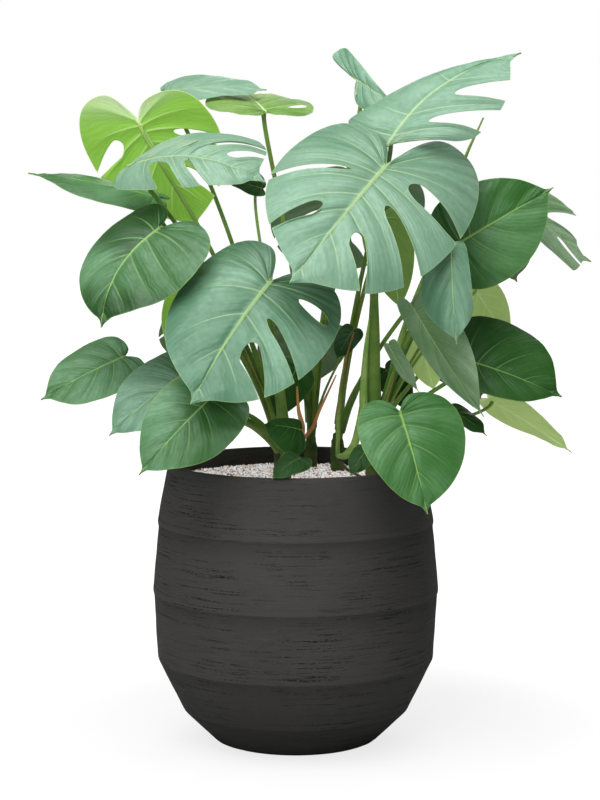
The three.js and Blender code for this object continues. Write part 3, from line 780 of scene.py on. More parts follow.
class Tone(Enum):
    """The leaf tones of the plant."""

    SILVER = LeafFinish(
        "silver", "leaf_blue_green", "#6a977b", "#86ac92", "#a2c298", "#a8c684", "#94aa88",
    )
    TEAL = LeafFinish(
        "teal", "leaf_blue_green", "#548265", "#82ac90", "#94b688", "#9cbc74", "#86a278", 0.38, 0.6,
    )
    GREEN = LeafFinish(
        "green", "leaf_green", "#3c6c34", "#66966a", "#7ea662", "#8cb45a", "#78955f", 0.4, 0.5,
    )
    DEEP = LeafFinish(
        "deep", "leaf_deep", "#1e4e10", "#37672a", "#5c8a44", "#7aa654", "#66854e", 0.4, 0.22,
    )
    BRIGHT = LeafFinish(
        "bright", "leaf_green", "#36702a", "#5c8e56", "#76a252", "#93bd5c", "#7d9d5f", 0.4, 0.42,
    )
    FRESH = LeafFinish(
        "fresh", "leaf_lime", "#5a8436", "#84a854", "#b4d488", "#bcd890", "#8cb05c", 0.55, 0.25, glow=0.4,
    )
    PALE = LeafFinish(
        "pale", "leaf_lime", "#8fae62", "#a6c078", "#c4d69a", "#c8d89c", "#b0cc7c", 0.5, 0.3, glow=1.0,
    )
    SAGE = LeafFinish(
        "sage", "leaf_sage", "#6c9262", "#94b490", "#a0b884", "#aac080", "#b4c090", 0.46, 0.6, glow=0.15,
    )
    LIME = LeafFinish(
        "lime", "leaf_lime", "#6cac2e", "#88c244", "#c6e490", "#d2e8a0", "#8cc442", 0.45, 0.5, glow=0.85,
    )
    SHADE = LeafFinish(
        "shade", "leaf_deep", "#1f4519", "#2a5222", "#4a713a", "#5f8141", "#587748", 0.46, 0.3,
    )


# The light green of a young petiole and the brown of the small spots on stalks.
PALE_GREEN = "#9ac05a"
SPOT_BROWN = "#6a5a38"


@dataclass(frozen=True)
class StemFinish:
    """Petioles, stems, sheaths and roots: a main colour, a second one and a dried one."""

    title: str
    main: str
    other: str
    dried: str
    roughness: float = 0.45
    across: float = 26.0

    @cache
    def material(self) -> bpy.types.Material:
        """The finish's material, made at its first use.

        Lines run along the piece, patches change its tone, the value "pale" makes it lighter and
        the value "dry" turns it brown.

        Returns:
            The material.
        """
        made, pen, shader = blank(f"stalk_{self.title}", self.roughness)
        lines = GRAIN.use(pen, Across=self.across, Along=0.03, Low=0.3, High=0.7)["Fac"]
        patch = MOTTLE.use(pen, Scale=30.0, Low=0.36, High=0.64)["Fac"]
        spots = MOTTLE.use(pen, Scale=260.0, Detail=1.0, Low=0.66, High=0.74)["Fac"]
        main, other, dried = linear(self.main), linear(self.other), linear(self.dried)
        colour = pen.blend(patch, main, other)
        colour = pen.washed(
            colour, (lines, 0.6, other), (pen.carried("pale"), 0.7, linear(PALE_GREEN))
        )
        dry = pen.stirred(pen.carried("dry"), patch, 0.3)
        colour = pen.blend(pen.step(dry, 0.1, 0.9), colour, dried)
        colour = pen.washed(colour, (spots, 0.4, linear(SPOT_BROWN)))
        rough = pen.step(dry, 0.0, 1.0, self.roughness, 0.85)
        pen.dress(shader, colour, rough, pen.bump(lines, 0.0006, 0.5))
        return made


# How far above a seam the clay has a painted highlight, in millimetres.
OVER_SEAM = 9.0


@dataclass(frozen=True)
class ClayFinish:
    """Washed fibre clay: charcoal with level scratches, drawn-out pits, and painted shade and highlights.
    """

    body: str = "#424140"
    clouds: str = "#474645"
    washed: str = "#504f4d"
    grit: str = "#52504e"
    # The ledges grey is a painted highlight just over each seam; the last colour serves the cracks and
    # scratches and the painted shade.
    ledges: str = "#565452"
    dark_marks_and_shade: str = "#121110"

    def cracks(self, pen: NodePen, squeeze: float, scale: float, low: float) -> Socket:
        """Mask of level cracks: the low parts of ragged noise that is squeezed in height.

        Args:
            pen: The material's pen.
            squeeze: How many times shorter in height than in width they are.
            scale: The noise's scale in width.
            low: The noise below which they open.

        Returns:
            The mask.
        """
        noise = pen.noise(pen.where((1.0, 1.0, squeeze)), scale, 6.0, 0.68)
        return pen.step(noise, low, low - 0.035)

    def material(self) -> bpy.types.Material:
        """The clay's material: patterns of noise on Object coordinates squeezed in height, painted
        shade under each seam by the value "below" with a painted highlight just over it, and painted
        shade towards the foot.

        Returns:
            The material.
        """
        made, pen, shader = blank("fibre_clay", 0.82, 0.22)
        streaks = pen.noise(pen.where((1.0, 1.0, 22.0)), 24.0, 6.0, 0.7)
        scratch = self.cracks(pen, 34.0, 17.0, 0.37)
        lines = self.cracks(pen, 46.0, 9.0, 0.43)
        dots = self.cracks(pen, 2.2, 230.0, 0.52)
        pits = pen.scaled(lines, dots)
        worn = MOTTLE.use(pen, Scale=11.0, Detail=2.0, High=0.6)["Fac"]
        cloud = MOTTLE.use(pen, Scale=7.0, Low=0.35, High=0.7)["Fac"]
        grit = MOTTLE.use(pen, Scale=520.0, Low=0.3, High=0.75)["Fac"]
        cracked = pen.scaled(pits, worn)
        below = pen.carried("below")
        # Painted shade under each seam's ledge, fading over 34 mm downwards.
        shaded = pen.scaled(pen.step(below, 34.0, 0.0), pen.step(below, -0.5, 1.5))
        # Painted highlight just over each seam.
        seam_highlight = pen.scaled(pen.step(below, -OVER_SEAM, -1.0), pen.step(below, 1.0, -0.5))
        height = pen.node("ShaderNodeSeparateXYZ", {0: pen.where()}).outputs[2]
        dark_marks_and_shade = linear(self.dark_marks_and_shade)
        colour = pen.blend(cloud, linear(self.body), linear(self.clouds))
        colour = pen.blend(pen.step(streaks, 0.45, 0.75, 0.0, 0.5), colour, linear(self.washed))
        colour = pen.washed(
            colour,
            (grit, 0.22, linear(self.grit)),
            (seam_highlight, 0.18, linear(self.ledges)),
            (shaded, 0.24, dark_marks_and_shade),
        )
        # Painted shade: the clay turns darker towards the foot.
        colour = pen.blend(pen.step(height, 0.17, 0.0, 0.0, 0.55), colour, dark_marks_and_shade)
        colour = pen.washed(colour, (scratch, 0.28, dark_marks_and_shade), (cracked, 0.8, dark_marks_and_shade))
        rough = pen.step(streaks, 0.3, 0.7, 0.76, 0.9)
        relief = pen.maths("SUBTRACT", pen.scaled(streaks, 0.8), pen.scaled(cracked, 1.4))
        relief = pen.maths("SUBTRACT", relief, pen.scaled(scratch, 0.6))
        relief = pen.maths("ADD", relief, pen.scaled(grit, 0.3))
        pen.dress(shader, colour, rough, pen.bump(relief, 0.0014, 0.85))
        return made


@dataclass(frozen=True)
class GroundFinish:
    """Soil or stone grains: a ramp of colours read from the value "tint" and fine grit."""

    title: str
    colours: tuple[tuple[float, str], ...]
    roughness: float = 0.9
    grit: str = "#5a5048"

    def material(self, carried: bool) -> bpy.types.Material:
        """The ground's material.

        Args:
            carried: Whether the tint comes from the piece's points, or else from noise.

        Returns:
            The material.
        """
        made, pen, shader = blank(self.title, self.roughness, 0.3)
        tint = pen.carried("tint") if carried else pen.noise(pen.where(), 120.0, 6.0, 0.7)
        ramp = pen.node("ShaderNodeValToRGB", {0: tint})
        stops = ramp.color_ramp.elements
        stops.remove(stops[1])
        stops[0].position, stops[0].color = self.colours[0][0], linear(self.colours[0][1])
        for position, code in self.colours[1:]:
            stops.new(position).color = linear(code)
        grit = MOTTLE.use(pen, Scale=900.0, Low=0.3, High=0.7)["Fac"]
        gritty = pen.washed(ramp.outputs[0], (grit, 0.14, linear(self.grit)))
        rough = pen.step(grit, 0.0, 1.0, self.roughness - 0.15, self.roughness)
        pen.dress(shader, gritty, rough, pen.bump(grit, 0.0004, 0.5))
        return made


GREEN_STEM = StemFinish("green", "#3c6c18", "#66982e", "#5f7a2c")
PALE_STEM = StemFinish("pale", "#86b848", "#b2d678", "#b07c46")
SHEATH = StemFinish("sheath", "#4c7c22", "#7ea648", "#f0a86c", 0.55, 60.0)
ROOT = StemFinish("root", "#34501a", "#4e6e26", "#5a4a2c", 0.7)
BED = GroundFinish("gravel_bed", ((0.0, "#8a7c72"), (0.5, "#a89a90"), (1.0, "#c4b8ae")))
STONES = GroundFinish(
    "gravel_grains",
    (
        (0.0, "#fbf8f4"), (0.2, "#efe6df"), (0.34, "#cfd6e2"), (0.46, "#e8cfc2"),
        (0.6, "#b89a8a"), (0.7, "#ffffff"), (0.84, "#aab2c0"), (0.95, "#7c6658"),
    ),
    0.75,
)
EARTH = GroundFinish("potting_soil", ((0.3, "#1c1511"), (0.5, "#2e231b"), (0.7, "#4a3a2c")))


# Leaves

# Places along a blade's edge, 0 at the notch and 1 at the tip: the lobe's lowest point, the
# widest place, the last side vein that leaves the petiole's end, and the start of the drip tip.
LOBE_AT = 0.18
WIDE_AT = 0.44
FAN_TO = 0.2
DRIP_FROM = 0.92

# Where a lobe's lowest point lies across, as a share of the half's width, and how far the two
# handles from there to the widest place reach towards their corner.
LOBE_ACROSS = 0.46
ROUND = 0.6

# How much a side vein bows, as a share of how far it runs.
BOW = 0.12

# How much of the way from midrib to edge a slit's round end takes, and how far a slit closes at
# the edge where its cut doesn't say.
SLIT_ROUND = 0.16
SLIT_CLOSES = 0.5

# Rows of a blade's mesh: close ones at midrib and edge, how many even ones between, how many
# along a hole, those at a slit's round end, and the least room between two.
CLOSE_ROWS = (0, 0.012, 0.026, 0.045, 0.07, 0.1, 0.14, 0.955, 0.975, 0.99, 1)
EVEN_ROWS = 14
HOLE_ROWS = 11
SLIT_ROWS = (0, 0.03, 0.1, 0.22, 0.4, 0.65, 1.0)
LEAST_ROOM = 0.004

# Relief of a blade: half waves of its margin and of its frill from notch to tip, the frill's
# height in millimetres, fine ridges from one side vein to the next and their share of a pleat's
# height, and the half width from which a blade has its whole relief.
WAVES = 5
FRILLS = 21
FRILL = 0.25
RIDGES = 4
RIDGE = 0.16
WHOLE_FROM = 70

# Width from which a blade's veins are full, half its midrib's width against half its own, and
# its margin's width, in millimetres.
FULL_WIDTH = 180
RIB_SHARE = 0.036
MARGIN = 0.9

# A finished blade: half its thickness and how far side veins are sunk above and stand out below,
# in millimetres, and how far the midrib stands out, as a share of half its width.
SKIN = 0.36
VEIN_SUNK, VEIN_RAISED = 0.12, 0.55
RIB_ABOVE, RIB_BELOW = 0.3, 0.75

# Thickness of the plain blade and its clearance from the petiole, in millimetres, and how many
# times as wide as at its middle a petiole is at its foot and its joint.
BLADE = 0.9
GAP = 0.3
PETIOLE_FOOT = 1.5
PETIOLE_JOINT = 1.2

# Height of the gravel's top, in millimetres.
GRAVEL_TOP = 366.0

Cut = tuple[float, ...]
NO_CUTS: tuple[tuple[Cut, ...], tuple[Cut, ...]] = ((), ())


@dataclass(frozen=True)
class Lobe:
    """One stretch of a half blade between two cuts, counted from the notch: which half, which
    lobe, where it starts and ends, the cuts there or none, how many side veins it has, and how
    many lie before it."""

    half: int
    index: int
    bounds: Pair
    cuts: tuple[Cut | None, Cut | None]
    veins: int
    before: int


@dataclass(frozen=True)
class Blade:
    """One leaf blade with its petiole, in millimetres and degrees.

    It is placed by its midrib from petiole to tip and by the way that its upper face looks, as
    azimuth from the front and elevation. Pairs hold the right half and then the left. A cut is
    where it lies between notch and tip, where it starts and ends between midrib and edge, half
    its width, and how far a slit closes. Deep is how much painted shade each half has towards
    the petiole and towards the tip. The slot is its tone's own, if none is given.
    """

    name: str
    crown: str
    tone: Tone
    base: Point
    tip: Point
    face: Pair
    width: Pair
    lobe: Pair = (16, 16)
    fold: Pair = (6, 6)
    curl: Pair = (-14, -14)
    wide: Pair = (0.2, 0.2)
    shoulder: Pair = (0.62, 0.62)
    blunt: Pair = (0.15, 0.15)
    flank: Pair = (0.96, 0.96)
    crowding: float = 2.4
    drip: float = 0.06
    arch: float = 8
    sweep: float = 0
    droop: float = 0
    wave: float = 2
    cuts: tuple[tuple[Cut, ...], tuple[Cut, ...]] = NO_CUTS
    petiole: float = 4.5
    rooted: float = 0.7
    climb: float = 0.55
    lean: float = 0.2
    hook: float = 34
    ribs: float = 6.5
    fine: int = 10
    pleat: float = 2.4
    deep: tuple[Pair, Pair] = ((0, 0), (0, 0))
    slot: str = ""

    @property
    def length(self) -> float:
        """Midrib length, straight from petiole to tip."""
        return math.dist(self.base, self.tip)

    @property
    def axes(self) -> tuple[Array, Array, Array]:
        """The blade's directions, square to one another.

        Returns:
            Along the midrib, out of the upper face, and to the right.
        """
        along = unit(np.subtract(self.tip, self.base))
        azimuth, elevation = np.radians(self.face)
        level = math.cos(elevation)
        facing = np.array([math.sin(azimuth) * level, -math.cos(azimuth) * level, math.sin(elevation)])
        up = unit(facing - along * (facing @ along))
        return along, up, np.cross(along, up)

    @property
    def middle(self) -> Array:
        """The midrib's handle: its middle, raised by the arch and moved by the sweep."""
        _, up, right = self.axes
        return np.add(self.base, self.tip) / 2 + up * self.arch + right * self.sweep

    def opens(self, half: int) -> float:
        """Where between midrib and edge the deepest slits of a half have opened."""
        slits = [cut[1] for cut in self.cuts[half] if cut[2] >= 1]
        return max(slits) if slits else 0.45

    def edge(self, half: int, s: Array) -> Array:
        """The half's edge: one cubic from the notch round the lobe, one to the widest place and
        one to the tip, which is drawn out into a point.

        Args:
            half: 0 for the right, 1 for the left.
            s: Places along the edge, 0 at the notch and 1 at the tip.

        Returns:
            Points of [across, along].
        """
        width, lobe = self.width[half], self.lobe[half]
        wide, deep = self.wide[half] * self.length, LOBE_ACROSS * self.width[half]
        drip = self.drip * self.length
        end = self.length - drip
        notch = [[0, 0], [0.1 * width, -0.85 * lobe], [0.5 * deep, -lobe], [deep, -lobe]]
        handle = [width, wide - ROUND * (wide + lobe)]
        cheek = [[deep, -lobe], [deep + ROUND * (width - deep), -lobe], handle, [width, wide]]
        handle = [width, wide + self.shoulder[half] * (self.length - wide)]
        point = [self.blunt[half] * width, self.flank[half] * end]
        flank = [[width, wide], handle, point, [0, end]]
        first = cubic(notch, clamp(s / LOBE_AT))
        second = cubic(cheek, clamp((s - LOBE_AT) / (WIDE_AT - LOBE_AT)))
        third = cubic(flank, clamp((s - WIDE_AT) / (1 - WIDE_AT)))
        on = s[..., None]
        edge = np.where(on <= LOBE_AT, first, np.where(on <= WIDE_AT, second, third))
        edge[..., 1] += drip * clamp((s - DRIP_FROM) / (1 - DRIP_FROM)) ** 2
        return edge

    def flat(self, half: int, s: Array, t: Array) -> tuple[Array, Array]:
        """The flat half: a side vein at each s runs from the midrib to the edge as a quadratic
        curve bowed to the tip.

        Args:
            half: 0 for the right, 1 for the left.
            s: Which side vein, 0 at the notch and 1 at the tip.
            t: How far along it, 0 at the midrib and 1 at the edge.

        Returns:
            Distances across and along from the petiole's end.
        """
        edge = self.edge(half, s)
        start = self.length * clamp((s - FAN_TO) / (1 - FAN_TO)) ** self.crowding
        rise = edge[..., 1] - start
        bow = BOW * clamp(s / 0.3) * clamp((1 - s) / 0.25)
        mid_across = edge[..., 0] / 2 + bow * rise
        mid_along = (start + edge[..., 1]) / 2 - bow * edge[..., 0]
        across = 2 * t * (1 - t) * mid_across + t * t * edge[..., 0]
        along = (1 - t) ** 2 * start + 2 * t * (1 - t) * mid_along + t * t * edge[..., 1]
        return across, along

    def point(self, half: int, s: Array, t: Array, lobe: int, phase: Array) -> tuple[Array, Array, Array]:
        """The half carried onto the arched midrib, folded and curled to its side, waved at the
        margin, hanging at the lobes' ends, and pleated between its side veins.

        Args:
            half: 0 for the right, 1 for the left.
            s: Which side vein.
            t: How far along it.
            lobe: Which lobe, counted from the notch.
            phase: Count of side veins from the notch; a vein lies at each half.

        Returns:
            Points in space, and the flat distances across and along.
        """
        across, along = self.flat(half, s, t)
        base, tip, middle = np.array(self.base, float), np.array(self.tip, float), self.middle
        _, _, right = self.axes
        side = 1 if half == 0 else -1
        width = self.width[half]
        reach = clamp(along / self.length, 0, 2)[..., None]
        tangent = unit((middle - base) * (1 - reach) + (tip - middle) * reach)
        spine = (1 - reach) ** 2 * base + 2 * reach * (1 - reach) * middle + reach**2 * tip
        spine = spine + tangent * np.minimum(along, 0)[..., None]
        sideways = unit(right - tangent * (tangent @ right)[..., None])
        outward = np.cross(sideways, tangent)
        fold = math.radians(self.fold[half])
        bend = width / math.radians(self.curl[half])
        angle = fold + across / bend
        lift = bend * (math.cos(fold) - np.cos(angle))
        spread = clamp(across / (0.5 * width))
        shift = 1.7 * side + 0.02 * self.base[0]
        lift += self.wave * spread * t**3 * np.sin(WAVES * math.pi * s + shift)
        hang = spread * clamp((t - self.opens(half)) / (1 - self.opens(half))) ** 2
        lift -= self.droop * (1 + 0.5 * math.sin(2.4 * lobe + 3 * half)) * hang
        between = np.abs(2 * (phase % 1) - 1)
        room = clamp(t / 0.15) * (1 - 0.7 * clamp((t - 0.75) / 0.25)) * clamp(s / 0.12)
        whole = clamp(width / WHOLE_FROM)
        lift += self.pleat * np.sin(0.5 * math.pi * between) * room * whole
        lift += RIDGE * self.pleat * np.cos(2 * RIDGES * math.pi * phase) * room * whole
        lift += FRILL * spread * t**6 * np.sin(FRILLS * math.pi * s + shift) * whole
        offset = side * bend * (np.sin(angle) - math.sin(fold))
        points = spine + sideways * offset[..., None] + outward * lift[..., None]
        return points, across, along

    def rows(self, half: int) -> Array:
        """Places between midrib and edge for the mesh's rows: close at the midrib, at the edge
        and at every cut's round end, and even between.

        Args:
            half: 0 for the right, 1 for the left.

        Returns:
            The places in order.
        """
        keys = set(CLOSE_ROWS) | set(np.linspace(0.19, 0.92, EVEN_ROWS))
        for _, start, end, *_ in self.cuts[half]:
            if end < 1:
                swing = np.cos(np.linspace(math.pi, 0, HOLE_ROWS))
                keys |= set((start + end) / 2 + (end - start) / 2 * swing)
            else:
                keys |= set(start + SLIT_ROUND * np.array(SLIT_ROWS))
        ordered = sorted(keys)
        fixed = {0.0, 1.0, *(c for cut in self.cuts[half] for c in cut[1:3])}
        kept = [ordered[0]]
        for value in ordered[1:]:
            if value - kept[-1] > LEAST_ROOM:
                kept.append(value)
            elif value in fixed:
                kept[-1] = value
        return np.array(kept)

    @staticmethod
    def opening(cut: Cut | None, t: Array) -> Array:
        """Half the width of a cut at t: a half ellipse for a hole, and for a slit a round end
        that closes by its share towards the edge.

        Args:
            cut: The cut, or none.
            t: Places between midrib and edge.

        Returns:
            The half width at each t, 0 where there is no cut.
        """
        if cut is None:
            return np.zeros_like(t)
        _, start, end, width, *rest = cut
        closing = rest[0] if rest else SLIT_CLOSES
        if end < 1:
            x = 2 * (t - start) / (end - start) - 1
            return width * np.sqrt(clamp(1 - x * x))
        x = clamp((t - start) / SLIT_ROUND)
        closed = closing * clamp((t - start - 0.1) / (0.9 - start))
        return np.where(t <= start, 0.0, width * np.sqrt(clamp(1 - (1 - x) ** 2)) * (1 - closed))

    @staticmethod
    def spread(start: Array, end: Array, bounds: Pair, local: Array, veins: int) -> Array:
        """Places of a lobe's columns: its side veins keep to their own lines however wide the
        cuts beside them are, and the columns between are even.

        Args:
            start: Where the lobe starts in each row.
            end: Where it ends in each row.
            bounds: Where it would start and end without its cuts.
            local: The columns, 0 at the start and 1 at the end.
            veins: How many side veins it has.

        Returns:
            The places, rows by columns.
        """
        share = (np.arange(veins) + 0.5) / veins
        ideal = bounds[0] + (bounds[1] - bounds[0]) * share
        room = end - start
        held = np.clip(ideal, start + 0.4 * room * share, end - 0.4 * room * (1 - share))
        knots = np.hstack([start, held, end])
        stops = np.concatenate([[0.0], share, [1.0]])
        index = np.clip(np.searchsorted(stops, local, side="right") - 1, 0, veins)
        weight = (local - stops[index]) / (stops[index + 1] - stops[index])
        return knots[:, index] * (1 - weight) + knots[:, index + 1] * weight

    def sheet(self) -> Surface:
        """The blade as one open sheet, lobe by lobe.

        Returns:
            The sheet, whose points carry what the finish needs.
        """
        cuts = {cut[0] for half in self.cuts for cut in half}
        bounds = sorted({0.0, DRIP_FROM, 1.0, *cuts})
        parts: list[Surface] = []
        for half in (0, 1):
            found = {cut[0]: cut for cut in self.cuts[half]}
            index, counted = 0, 0
            for low, high in zip(bounds[:-1], bounds[1:]):
                index += low in found
                veins = max(1, round((high - low) * self.ribs))
                beside = (found.get(low), found.get(high))
                parts.append(self.band(Lobe(half, index, (low, high), beside, veins, counted)))
                counted += veins
        return Surface.gathered(parts).welded()

    def band(self, lobe: Lobe) -> Surface:
        """One lobe's grid. Its points carry their distances to the midrib and the nearest side
        vein, counted in half widths of those, and to the edge, counted in the margin's width.

        Args:
            lobe: The lobe.

        Returns:
            The surface, not yet welded to its neighbours.
        """
        half, veins, (low, high), (before, after) = lobe.half, lobe.veins, lobe.bounds, lobe.cuts
        t = self.rows(half)
        local = np.linspace(0, 1, veins * self.fine + 1)
        start = (low + self.opening(before, t))[:, None]
        end = (high - self.opening(after, t))[:, None]
        s = self.spread(start, end, lobe.bounds, local, veins)
        dropped = int(low == 0)
        s, local = s[:, dropped:], local[dropped:]
        rows = np.broadcast_to(t[:, None], s.shape)
        phase = np.broadcast_to(lobe.before + veins * local, s.shape)
        points, across, along = self.point(half, s, rows, lobe.index, phase)

        run = travelled(points, 1)
        centres = (np.arange(veins) + 0.5) * self.fine - dropped
        middles = run[:, centres.astype(int)]
        vein = np.abs(run[:, :, None] - middles[:, None, :]).min(axis=-1)
        size = clamp(sum(self.width) / FULL_WIDTH, 0.45, 1.0)
        thick = size * (1.4 - 0.95 * rows)

        down = travelled(points, 0)
        margin = down[-1] - down
        for cut, distance in ((before, run), (after, run[:, -1:] - run)):
            if cut is not None:
                open_here = self.opening(cut, rows[:, 0]) > 0
                margin = np.where(open_here[:, None], np.minimum(margin, distance), margin)

        taper = 1 - 0.82 * clamp(along / self.length)
        girth = clamp(RIB_SHARE * sum(self.width) / 2, 1.2, 4.2) * taper
        # Painted shade: how far each half turns to its shade green near the petiole and near the tip.
        near = clamp(1 - along / (0.6 * self.length)) ** 1.5
        far = clamp((along / self.length - 0.4) / 0.6) ** 1.5
        deep = self.deep[half][0] * near + self.deep[half][1] * far
        values = {
            "rib": (across / girth).ravel(),
            "vein": (vein / thick).ravel(),
            "margin": (margin / MARGIN).ravel(),
            "girth": girth.ravel(),
            "run": rows.ravel(),
            "deep": deep.ravel(),
        }
        side = 1 if half == 0 else -1
        flow = np.stack([phase + HALF_APART * half, rows * side], axis=-1)
        triangles = lattice(*rows.shape)[:, ::-side]
        return Surface(points.reshape(-1, 3), triangles, values, flow.reshape(-1, 2))

    def solid(self) -> Surface:
        """The closed blade: thin, with a low round midrib above and a full one below, and side
        veins sunk above and raised below.

        Returns:
            The blade.
        """
        sheet = self.sheet()
        rib = np.sqrt(clamp(1 - sheet.values["rib"] ** 2))
        girth = sheet.values["girth"]
        vein = np.exp(-((sheet.values["vein"] / 1.1) ** 2)) * (1 - sheet.values["run"])
        above = SKIN + RIB_ABOVE * girth * rib - VEIN_SUNK * vein * (1 - rib)
        below = SKIN + RIB_BELOW * girth * rib + VEIN_RAISED * vein * (1 - rib)
        return sheet.thickened(above, below)

    def seat(self) -> tuple[Array, Array]:
        """Where the petiole meets the blade, just inside the notch.

        Returns:
            Where the petiole ends, and the way out of the blade's upper face there.
        """
        _, _, right = self.axes
        base = np.array(self.base, float)
        along = unit(self.middle - base)
        across = unit(right - along * (right @ along))
        outward = np.cross(across, along)
        end = self.petiole * PETIOLE_JOINT
        slopes = [self.fold[k] + self.curl[k] * end / self.width[k] for k in (0, 1)]
        sag = end * max(0.0, *(-math.sin(math.radians(slope)) for slope in slopes))
        seat = base + along * (end + 2) - outward * (BLADE / 2 + 2 * GAP + sag)
        return seat, outward

    def build(self) -> bpy.types.Object:
        """Puts the blade into the scene in place of its plain solid.

        Returns:
            The new object.
        """
        finish = self.tone.value
        slot = self.slot or finish.slot
        return place(f"blade_{self.name}", self.solid(), finish.material(), slot, f"leaf_{self.name}")


# The plant's leaves

FRONT_LEAVES = (
    Blade(
        "front_large", "right", Tone.SILVER, (120, -60, 799), (-8, -190, 648), (18, 38), (132, 142),
        lobe=(54, 106), fold=(2, 8), curl=(-36, -18), arch=16, shoulder=(0.6, 0.58), blunt=(0.1, 0.5),
        droop=8, petiole=7, ribs=7,
        cuts=(
            ((0.52, 0.24, 1, 0.012, 0.2), (0.72, 0.36, 1, 0.03, 0.6)),
            ((0.425, 0.3, 1, 0.034, 0.8), (0.6, 0.26, 1, 0.028, 0), (0.77, 0.28, 1, 0.03, 0.7)),
        ),
        deep=((0.35, 0), (0.32, 0.05)),
    ),
    Blade(
        "front_left", "front", Tone.TEAL, (-35, -110, 645), (-135, -225, 494), (8, 34), (110, 118),
        lobe=(58, 46), fold=(2, 6), curl=(-44, -14), arch=14, sweep=8, shoulder=(0.62, 0.6),
        blunt=(0.15, 0.6), petiole=5.5, ribs=7,
        cuts=((), ((0.39, 0.4, 0.86, 0.024), (0.6, 0.24, 1, 0.022, 0.6), (0.75, 0.28, 1, 0.05, 0.8))),
        deep=((0.45, 0), (0.65, 0)),
    ),
    Blade(
        "low_left_front", "left", Tone.GREEN, (-111, -160, 496), (-203, -205, 400), (0, 40), (58, 66),
        lobe=(20, 28), curl=(-12, -16), arch=12, wave=3, deep=((0.1, 0.2), (0.4, 0.1)),
    ),
    Blade(
        "low_right_front", "right", Tone.BRIGHT, (138, -160, 476), (171, -215, 350), (12, 36), (64, 80),
        lobe=(22, 26), curl=(-14, -16), arch=12, blunt=(0.25, 0.2), wave=3,
        deep=((0.1, 0.3), (0.35, 0.35)),
    ),
    Blade(
        "small_front", "front", Tone.DEEP, (6, -90, 446), (-45, -100, 454), (0, 30), (14, 40),
        lobe=(4, 8), petiole=3, fine=6, deep=((0.6, 0.4), (0.6, 0.6)),
    ),
    Blade(
        "rim_front", "front", Tone.SHADE, (6, -150, 415), (-31, -178, 390), (0, 50), (18, 22),
        lobe=(4, 8), petiole=2.5, fine=6, deep=((0.7, 0.7), (0.7, 0.7)),
    ),
    Blade(
        "rim_right", "right", Tone.SHADE, (95, -120, 422), (73, -140, 390), (0, 40), (16, 18),
        lobe=(4, 8), petiole=2.5, fine=6, deep=((0.8, 0.8), (0.8, 0.8)),
    ),
)

LEFT_LEAVES = (
    Blade(
        "left_heart", "left", Tone.GREEN, (-186, -60, 715), (-257, -130, 587), (-18, 36), (66, 102),
        lobe=(30, 44), fold=(4, 8), curl=(-22, -20), arch=14, sweep=36, shoulder=(0.62, 0.85),
        blunt=(0.2, 0.4), deep=((2.2, 1.4), (0.4, 1.7)), slot="leaf_deep",
    ),
    Blade(
        "far_left_heart", "left", Tone.GREEN, (-238, -10, 538), (-347, -60, 483), (-15, 45), (52, 60),
        curl=(-10, -14), blunt=(0.2, 0.35), shoulder=(0.6, 0.7), petiole=3.5, deep=((0.1, 0), (0.3, 0)),
    ),
    Blade(
        "low_left_grey", "left", Tone.TEAL, (-153, -70, 520), (-250, -110, 440), (-12, 40), (54, 52),
        lobe=(24, 20), blunt=(0.2, 0.3), arch=10, wave=3, petiole=3.5, deep=((0.6, 0.1), (0.1, 0)),
    ),
    Blade(
        "far_left", "left", Tone.GREEN, (-193, 44, 757), (-370, 14, 790), (-10, 66), (56, 42),
        lobe=(20, 14), fold=(-10, -6), curl=(-14, -24), arch=10, slot="leaf_sage",
    ),
    Blade(
        "left_fingered", "left", Tone.SILVER, (-231, -10, 799), (-42, -75, 778), (8, 58), (54, 92),
        lobe=(16, -95), fold=(-6, 16), curl=(-40, -44), arch=56, wide=(0.3, 0.75), shoulder=(0.62, 0.8),
        blunt=(0.5, 0.5), crowding=1.4, ribs=7,
        cuts=(
            ((0.49, 0.2, 1, 0.05, 0), (0.65, 0.2, 1, 0.03, 0)),
            ((0.66, 0.3, 1, 0.03, 0), (0.8, 0.25, 1, 0.03, 0)),
        ),
    ),
    Blade(
        "lime_left", "back_left", Tone.LIME, (-221, 85, 863), (-141, 135, 711), (165, 15), (110, 92),
        lobe=(30, 60), fold=(-4, -4), curl=(-10, -10), arch=6, shoulder=(0.6, 0.6), ribs=7,
        cuts=(
            ((0.52, 0.35, 1, 0.022, 0), (0.74, 0.35, 1, 0.03, 0.2)),
            ((0.46, 0.4, 1, 0.045, 0.8), (0.66, 0.4, 1, 0.035)),
        ),
    ),
    Blade(
        "top_left", "back", Tone.FRESH, (-43, 60, 877), (-75, 190, 905), (180, 76), (74, 78),
        lobe=(30, 30), fold=(12, 4), arch=6, blunt=(0.3, 0.3),
        cuts=(((0.4, 0.45, 0.85, 0.03),), ()),
    ),
    Blade(
        "top_pale", "back_left", Tone.SILVER, (-188, 135, 907), (-42, 125, 909), (0, 66), (46, 48),
        lobe=(6, 8), arch=14, blunt=(0.6, 0.3),
    ),
    Blade(
        "lime_behind", "back_left", Tone.LIME, (-117, 76, 622), (-170, 74, 516), (190, 8), (64, 60),
        lobe=(20, 20),
    ),
    Blade(
        "cup_small", "front", Tone.SHADE, (-47, 20, 770), (-96, 10, 779), (0, 30), (22, 14),
        lobe=(6, 6), petiole=3, fine=6,
    ),
)

